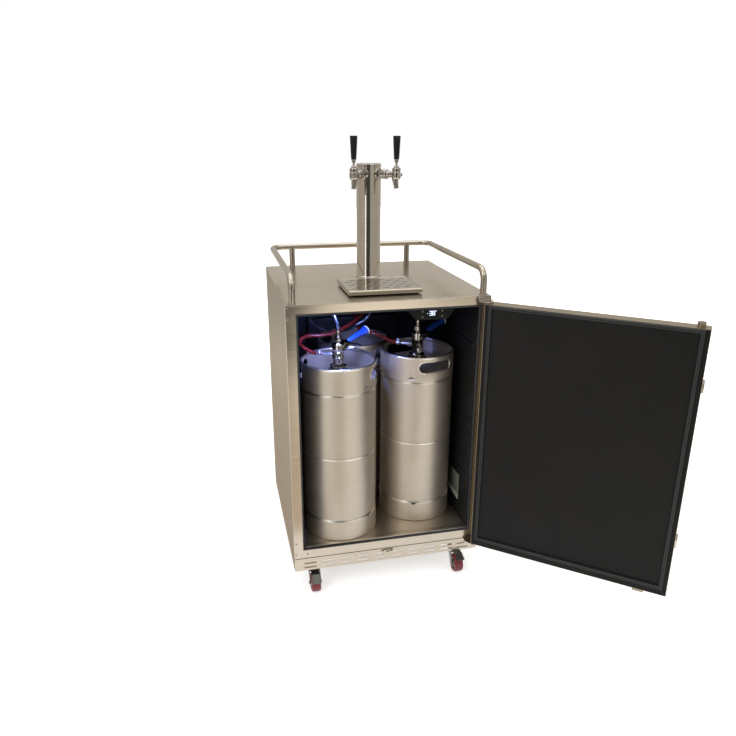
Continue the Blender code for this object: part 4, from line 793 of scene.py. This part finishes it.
def make_couplers():
    """Two keg couplers: body, hex nuts, gas barb, relief valve with its ring, pull handle."""
    out = turn_y(90)
    body = spun("body", [
        (0, 0), (24.6, 0), (26, 1.2), (26, 12.6), (25, 14.2), (20.4, 15.6), (16.6, 17.2),
        (16, 19.2), (16, 33.4), (17.4, 35.2), (18.8, 36), (19, 37.8), (19, 55.6), (18, 56.6),
        (18, 60.2), (19, 61.2), (19, 83.6), (17.6, 85), (11.2, 85.6), (10.5, 87.2), (10.5, 91.2),
        (0, 91.2)], 64)
    top_nut = spun("top_nut", [(0, 90.5), (13.6, 90.5), (13.6, 104.8), (0, 104.8)], 6, 0.0008)
    nipple = spun("nipple", [(0, 104), (9, 104), (9, 106), (7, 107.2), (6.6, 114), (0, 114.9)], 32)
    gas_nut = spun("gas_nut", [(0, 17), (9.8, 17), (9.8, 31.6), (0, 31.6)], 6, 0.0007)
    barb = spun("barb", [
        (0, 30), (6.6, 30), (6.6, 35.2), (5.4, 36), (5.4, 47), (4.4, 48), (4.4, 54.5),
        (0, 54.6)], 24)
    gas = as_one("gas", gas_nut, barb)
    port = move(0, 0, 0.0435) @ out  # the side ports' height
    settle(gas, turn_z(125) @ port)
    relief = spun("relief", [
        (0, 15), (7.8, 15), (7.8, 21.2), (5.6, 22.2), (5.6, 26.2), (7, 26.8), (7, 29.2), (3, 30),
        (3, 30.6)] + bow((0, 34.6), 5.2, -50, 90, 9), 24)
    settle(relief, turn_z(-120) @ port)
    loop = [(0.0330, x, z) for x, z in bow((0, 0.0330), 0.0068, 0, 350, 35)]
    ring = pipe("ring", loop, 0.0013, closed=True, sides=8)
    settle(ring, turn_z(-120))
    body = as_one("coupler_master", body, top_nut, nipple, relief)
    gas = as_one("gas_master", gas, ring)
    cheek = bow((0, 0), 0.0088, 90, 270, 10)
    cheek += [(0.030, -0.0080), (0.0335, -0.0060), (0.0335, 0.0060), (0.030, 0.0080)]
    yoke = []
    for y in (-0.0193, 0.0223):
        yoke.append(settle(pressed("cheek", cheek, 0.0030, 0.0005), move(0, y, 0) @ turn_x(90)))
    yoke.append(block("bridge", (0.0240, -0.0200, -0.0078), (0.0338, 0.0200, 0.0078), 0.0015))
    for y, way in ((0.0222, -90), (-0.0222, 90)):
        bolt = spun("bolt", [(0, 0), (5.2, 0), (5.2, 2.6), (4, 3.6), (0, 3.7)], 20)
        yoke.append(settle(bolt, move(0, y, 0) @ turn_x(way)))
    collar = spun("collar", [(0, 33), (7.8, 33), (8, 34), (8, 36.6), (6.4, 37.6), (0, 37.6)], 32)
    end = spun("end", [
        (0, 112.8), (14.4, 112.8), (14.7, 113.6), (14.7, 116.2), (13.4, 118.2), (6, 118.9),
        (0, 118.9)], 40)
    yoke = as_one("yoke_master", *yoke, settle(collar, out))
    settle(end, out)
    grip = spun("grip", [
        (0, 36), (6.6, 36), (7, 37), (7.6, 46), (8.6, 62), (9.2, 64), (8.8, 66), (9.4, 76),
        (10.2, 78), (9.9, 80), (11, 92), (13, 106), (14.5, 109.6), (14.8, 112.2), (14.3, 113),
        (0, 113)], 48)
    settle(grip, out)
    for side, keg in (("left", LEFT_KEG), ("right", RIGHT_KEG)):
        seat, pulled = stand_at(*keg, 0.7029) @ turn_z(25), f"{side}_coupler_lever"
        hub = seat @ move(0, 0, 0.070) @ turn_y(-18)
        set_out(
            side,
            (body, "coupler", seat, chrome_plate, "cabinet", "chrome_plate", "coupler_body"),
            (gas, "gas_barb", seat, satin_nickel, "cabinet", "chrome_plate", None),
            (end, "grip_end", hub, white_plastic, pulled, "blue_moulded_grip", None),
            (yoke, "coupler_yoke", hub, chrome_plate, pulled, "chrome_plate", None),
            (grip, "coupler_grip", hub, blue_grip, pulled, "blue_moulded_grip",
             "coupler_handle"))
    discard(body, gas, end, yoke, grip)


make_couplers()


def make_clamps():
    """A screw clamp at both ends of each gas hose, and a ferrule at the foot of each beer line."""
    for side in ("left", "right"):
        path = hose_paths[f"{side}_gas_hose"]
        for number, (here, there) in enumerate(((path[0], path[1]), (path[-1], path[-2])), 1):
            way = (there - here).normalized().to_track_quat("Z", "Y").to_matrix().to_4x4()
            band = spun("band", [
                (5.7, 2), (7, 2), (7.3, 3), (7.3, 13), (7, 14), (5.7, 14)], 40, ring=True)
            ear = block("ear", (-0.0022, 0.0060, 0.0040), (0.0022, 0.0122, 0.0120), 0.0008)
            screw = spun("screw", [
                (0, -6), (2.6, -6), (2.8, -5.4), (2.8, 5), (2.2, 6), (0, 6)], 20)
            settle(screw, move(0, 0.0084, 0.008) @ turn_y(90))
            clamp = as_one(f"{side}_hose_clamp_{number}", band, screw, ear)
            settle(clamp, Matrix.Translation(here) @ way)
            worn(clamp, satin_nickel, "cabinet", "chrome_plate")
        start = hose_paths[f"{side}_beer_line"][0]
        nut = spun(f"{side}_line_ferrule", [
            (4.8, 0.4), (6.2, 0.4), (6.4, 1.2), (6.4, 9.6), (5.6, 10.4),
            (4.8, 10.4)], 36, ring=True)
        worn(settle(nut, Matrix.Translation(start)), chrome_plate, "cabinet", "chrome_plate")


make_clamps()


# Casters

def make_wheels():
    """A red tyre on a plated hub, made once and set four times, with an axle bolt on each fork."""
    tyre = spun("tyre", [
        (19, -12.7), (25.2, -14.5), (28, -13.7), (29.6, -10.4), (30, -4), (30, 4), (29.6, 10.4),
        (28, 13.7), (25.2, 14.5), (19, 12.7)], 64, ring=True)
    hub = spun("hub", [
        (4.4, -14.5), (10, -14.5), (10.8, -13.7), (11.2, -10), (18.2, -9.2), (19.1, -11.2),
        (19.1, 11.2), (18.2, 9.2), (11.2, 10), (10.8, 13.7), (10, 14.5),
        (4.4, 14.5)], 48, ring=True)
    bolt = spun("bolt", [(0, 17.9), (6.2, 17.9), (6.2, 21.1), (0, 21.5)], 6, 0.0005)
    other = again(bolt, "other_bolt", turn_x(180))
    bolt = as_one("bolt_master", bolt, other)
    for corner, x, y in (("front_left", -0.239, 0.004), ("front_right", 0.239, 0.004),
                         ("rear_left", -0.239, 0.53704), ("rear_right", 0.239, 0.53704)):
        axle, rolls = stand_at(x, y, 0.030) @ turn_y(90), f"{corner}_roller"
        set_out(
            corner,
            (tyre, "tyre", axle, red_wheel, rolls, "red_polyurethane", "caster_wheel"),
            (hub, "hub", axle, zinc_plate, rolls, "zinc_plate", None),
            (bolt, "axle_bolt", axle, zinc_plate, f"{corner}_swivel", "zinc_plate", None))
    discard(tyre, hub, bolt)


make_wheels()


# CAD pieces with their edges eased

# How far, in millimetres
EASED_MM = {
    "top_panel": 0.4, "left_side_panel": 0.4, "right_side_panel": 0.4, "back_panel": 0.3,
    "front_frame": 0.6, "kick_plate": 0.3, "floor_plate": 0.6, "drip_tray": 0.9,
    "drip_grate": 0.4, "upper_hinge": 0.6, "lower_hinge": 0.6, "control_panel": 1.2,
    "door_skin": 0.4, "door_liner": 1.2, "door_gasket": 2.0, "door_handle": 0.8,
    "bay_lamp": 0, "base_frame": 0.6,
    **{f"{end}_{side}_caster_fork": 0.4 for end in ("front", "rear") for side in ("left", "right")},
    "front_left_caster_pedal": 0.6, "front_right_caster_pedal": 0.6, "cold_air_cover": 0,
    "gas_inlet": 0.6, "compressor": 0, "fan_rotor": 0.4, "inner_liner": 0.6,
    **{f"control_button_{number}": 0.5 for number in (1, 2, 3, 4)},
}
for node, width in EASED_MM.items():
    eased(node, width / 1000)


def second_finish(piece, finish, chosen):
    """Gives a piece a second finish on the faces chosen by their middle and their way."""
    piece.data.materials.append(finish)
    for face in piece.data.polygons:
        if chosen(face.center - cabinet, face.normal):
            face.material_index = 1


def in_well(place, way):
    return abs(place.x) < 0.1078 and 0.0672 < place.y < 0.2408 and place.z < 0.9590


def in_slot(place, way):
    return abs(way.z) < 0.6 and abs(place.x) < 0.1030 and 0.0720 < place.y < 0.2360


# The tray's well and the walls of the grate's slots get the painted shade
second_finish(bpy.data.objects["eased_drip_tray"], tray_well, in_well)
second_finish(bpy.data.objects["eased_drip_grate"], tray_well, in_slot)


# Small pieces of the front, the bay wall and the display

def make_front():
    """The black breaker strip round the opening, the frame's seams and screws, the lock's slots."""
    ring = block("ring", (-0.2755, -0.0002, 0.1536), (0.2755, 0.0004, 0.9155), 0)
    tube = block("tube", (-0.2718, 0.0002, 0.1542), (0.2718, 0.0202, 0.9113), 0)
    for piece in (ring, tube):
        cut_by(piece, block("inside", (-0.2702, -0.01, 0.1600), (0.2702, 0.03, 0.9098), 0))
    strip = settle(as_one("breaker_strip", ring, tube), IN_CABINET)
    worn(strip, liner_plastic, "cabinet", "black_moulded_plastic")
    seams = []
    for side in (-1, 1):
        for outer, inner in (((0.3030, 0.9400), (0.2758, 0.9158)),
                             ((0.3030, 0.1255), (0.2758, 0.1533))):
            run, rise = side * (inner[0] - outer[0]), inner[1] - outer[1]
            middle = (side * (outer[0] + inner[0]) / 2, (outer[1] + inner[1]) / 2)
            long = math.hypot(run, rise)
            seam = block("seam", (-long / 2, -0.00012, -0.0006), (long / 2, 0.0003, 0.0006), 0)
            lie = turn_y(math.degrees(math.atan2(-rise, run)))
            seams.append(settle(seam, IN_CABINET @ move(middle[0], 0, middle[1]) @ lie))
    worn(as_one("mitre_seams", *seams), polished_steel, "cabinet", "brushed_stainless_steel")
    heads = []
    for x, z in ((-0.2984, 0.9358), (-0.2990, 0.9029), (-0.2967, 0.1790), (-0.2979, 0.1399),
                 (-0.2613, 0.1387), (-0.2596, 0.9377)):
        head = spun("head", [(0, 0), (3, 0), (3, 0.5), (2.2, 1), (0, 1.2)], 24)
        heads.append(settle(head, IN_CABINET @ move(x, 0, z) @ turn_x(90)))
    worn(as_one("frame_screws", *heads), chrome_plate, "cabinet", "zinc_plate")
    marks = []
    for x, y, z in ((-0.0193, 0, 0.117), (0.0093, -0.004, 0.116)):
        mark = pressed("mark", slot_outline(0.0085, 0.0042), 0.0004)
        marks.append(settle(mark, IN_CABINET @ move(x, y, z) @ turn_x(90)))
    worn(as_one("lock_slots", *marks), black_plastic, "cabinet", "black_moulded_plastic")


def make_rims():
    """The tray's upright rolled rim, and the turned-down front of the bay's floor sheet."""
    rim = block("tray_rim", (-0.1112, 0.0638, 0.9462), (0.1112, 0.2442, 0.9606), 0)
    cut_by(rim, block("inside", (-0.1096, 0.0654, 0.9), (0.1096, 0.2426, 1.0), 0))
    worn(settle(tidy_edges(rim, 0.0006), IN_CABINET), tray_steel, "tray",
         "polished_stainless_steel")
    lip = block("floor_front", (-0.2660, 0.0045, 0.1601), (0.2660, 0.0235, 0.1623), 0.0006)
    worn(settle(lip, IN_CABINET), floor_steel, "cabinet", "brushed_stainless_steel")


def make_label():
    """A blank label on the bay's right wall, with its paler foot."""
    plate = block("blank_label", (0.2690, 0.098, 0.213), (0.2702, 0.197, 0.303), 0.0003)
    worn(settle(plate, IN_CABINET), label_stock, "cabinet", "black_moulded_plastic")
    band = block("label_foot", (0.2686, 0.0985, 0.2135), (0.2691, 0.1965, 0.232), 0)
    worn(settle(band, IN_CABINET), label_band, "cabinet", "black_moulded_plastic")


def make_display():
    """Two seven-segment digits, a degree dot and a mark, lit behind the display's recess."""
    segments = {"a": (0, 2, 1, 0), "g": (0, 1, 1, 0), "d": (0, 0, 1, 0), "f": (0, 1, 0, 1),
                "e": (0, 0, 0, 1), "b": (1, 1, 0, 1), "c": (1, 0, 0, 1)}
    wide, tall, line = 0.0066, 0.0062, 0.0007
    near, far, base = 0.0508, 0.0516, 0.8781
    bars = []
    for left, lit in ((0.1312, "abgcd"), (0.1408, "abcdefg")):
        for key in lit:
            over, up, along, rise = segments[key]
            low = (left + over * wide - line, near, base + up * tall - line)
            high = (left + (over + along) * wide + line, far, base + (up + rise) * tall + line)
            bars.append(block("bar", low, high, 0))
    bars.append(block("dot", (0.1500, near, 0.8892), (0.1524, far, 0.8914), 0))
    bars.append(block("mark", (0.1244, near, 0.8834), (0.1264, far, 0.8850), 0))
    worn(settle(as_one("display_digits", *bars), IN_CABINET), lit_digits, "cabinet",
         "blue_lamp_cover")


def groove_gasket():
    """A groove round the middle of the door gasket, cut with a ring in the door's open place."""
    side, y, foot, head = 0.2785, -0.0003, 0.1475, 0.9185
    loop = [(-side, y, foot), (side, y, foot), (side, y, head), (-side, y, head)]
    opened = IN_CABINET @ move(0.288, -0.025, 0) @ turn_z(139.9) @ move(-0.288, 0.025, 0)
    ring = settle(pipe("groove", loop, 0.0013, closed=True, sides=8), opened)
    cut_by(bpy.data.objects["eased_door_gasket"], ring)


make_front()
make_rims()
make_label()
make_display()
groove_gasket()


# Studio: pale floor, white surround, soft lamps

def for_gloss(piece, tone, warm):
    """Makes a stage piece that only gloss shows, as a lit or dark card."""
    piece.data.materials.append(surface(
        piece.name, Emission_Strength=tone, Base_Color=linear("000000"),
        Emission_Color=linear(warm))[0])
    piece.visible_camera = False
    piece.visible_diffuse = False
    piece.visible_shadow = False


def card(name, start, stop, high, tone, warm, away=2.9):
    """An upright card round the tower, between two bearings in degrees."""
    arc = [at(x, y, 0) for x, y in bow((0, TOWER_Y), away, start, stop, 24)]
    piece = point_piece(name, arc[0])
    draw_on(arc)
    bpy.ops.mesh.select_all(action="SELECT")
    bpy.ops.mesh.extrude_region_move(TRANSFORM_OT_translate={"value": (0, 0, high)})
    bpy.ops.object.mode_set(mode="OBJECT")
    for_gloss(piece, tone, warm)


def lamp(name, place, size, power, aim, tall=None):
    """A soft lamp aimed at a point of the cabinet's frame, power in watts."""
    bpy.ops.object.light_add(type="AREA", location=at(*place))
    made = bpy.context.object
    made.name = name
    made.data.size = size
    if tall:
        made.data.shape = "RECTANGLE"
        made.data.size_y = tall
    made.data.energy = power
    made.rotation_euler = (at(*aim) - at(*place)).to_track_quat("-Z", "Y").to_euler()
    return made


def seen_in(tree):
    """1 for what the camera sees, also in metal and through glass, and 0 for what lights."""
    path = add(tree, "ShaderNodeLightPath")
    seen = path.outputs["Is Camera Ray"]
    for kind in ("Glossy", "Transmission"):
        seen = add(tree, "ShaderNodeMath", {0: seen, 1: path.outputs[f"Is {kind} Ray"]},
                   operation="MAXIMUM").outputs[0]
    return seen


def studio():
    white = bpy.data.worlds.new("white surround")
    white.use_nodes = True
    tree = white.node_tree
    strength = add(tree, "ShaderNodeMapRange", {
        "Value": seen_in(tree), "To Min": 0.62, "To Max": 1.0})
    backdrop = tree.nodes["Background"]
    backdrop.inputs["Color"].default_value = linear("FFFFFF")
    tree.links.new(strength.outputs[0], backdrop.inputs["Strength"])
    bpy.context.scene.world = white

    bpy.ops.mesh.primitive_plane_add(size=24, location=at(0, 0, 0))
    floor = bpy.context.object
    floor.name = "pale_floor"
    made, tree, shader = surface("white studio floor", Roughness=0.9,
                                 Base_Color=linear("F4F4F4"), Emission_Color=linear("FFFFFF"))
    where = add(tree, "ShaderNodeTexCoord").outputs["Object"]
    away = add(tree, "ShaderNodeVectorMath", {0: where}, operation="LENGTH")
    lit = add(tree, "ShaderNodeMapRange", {
        "Value": away.outputs["Value"], "From Min": 1.2, "From Max": 3.0,
        "To Min": 0.50, "To Max": 1.0})
    lift = add(tree, "ShaderNodeMath", {0: seen_in(tree), 1: lit.outputs[0]}, operation="MULTIPLY")
    tree.links.new(lift.outputs[0], shader.inputs["Emission Strength"])
    floor.data.materials.append(made)
    # Cards that stand round the cabinet: bearings, height, strength, tint and distance
    card("warm_left_card", -215, -143, 3.0, 0.55, "F4ECE0")
    card("dark_card", -143, -88, 3.0, 0.03, "FFFFFF")
    card("right_card", -88, -8, 3.0, 0.52, "F6F1E8")
    card("back_card", -8, 145, 3.0, 0.62, "F4EEE4")
    card("low_dark_card", -100, -87, 0.32, 0.05, "FFF0D8", 2.8)
    card("low_light_card", -87, -71, 0.52, 1.60, "FFFAF2", 2.8)
    card("low_right_card", -71, -50, 0.42, 0.90, "FFF6E6", 2.8)
    # Mats that lie on the floor: left, right, near and far edge, and strength
    mats = (("dark_mat", -0.9, 0.25, -2.6, -2.2, 0.08),
            ("left_front_mat", -0.7, -0.03, -2.2, -0.35, 0.80),
            ("left_back_mat", -1.2, -0.306, -0.2, 3.1, 0.64))
    for name, left, right, near, far, tone in mats:
        mat = pressed(name, [(left, near), (right, near), (right, far), (left, far)], 0.002)
        for_gloss(settle(mat, IN_CABINET), tone, "FFF0DC")
    lamp("strip_softbox", (-1.64, -1.59, 1.5), 0.5, 7, (0, TOWER_Y, 1.1), 2.4)
    lamp("left_softbox", (-3.6, -2.2, 3.6), 3.6, 78, (0, 0.2, 0.7))
    lamp("right_softbox", (3.2, -3.2, 3.4), 3.6, 60, (0.2, 0.1, 0.6))
    lamp("top_softbox", (0.2, 0.8, 4.4), 4.0, 60, (0, 0.3, 0.9))
    blue = lamp("bay_lamp_glow", (-0.140, 0.062, 0.899), 0.05, 1.9, (-0.135, 0.15, 0.73))
    blue.data.spread = math.radians(118)
    blue.data.color = (0.25, 0.35, 1.0)


studio()
bpy.context.scene.view_settings.view_transform = "Standard"
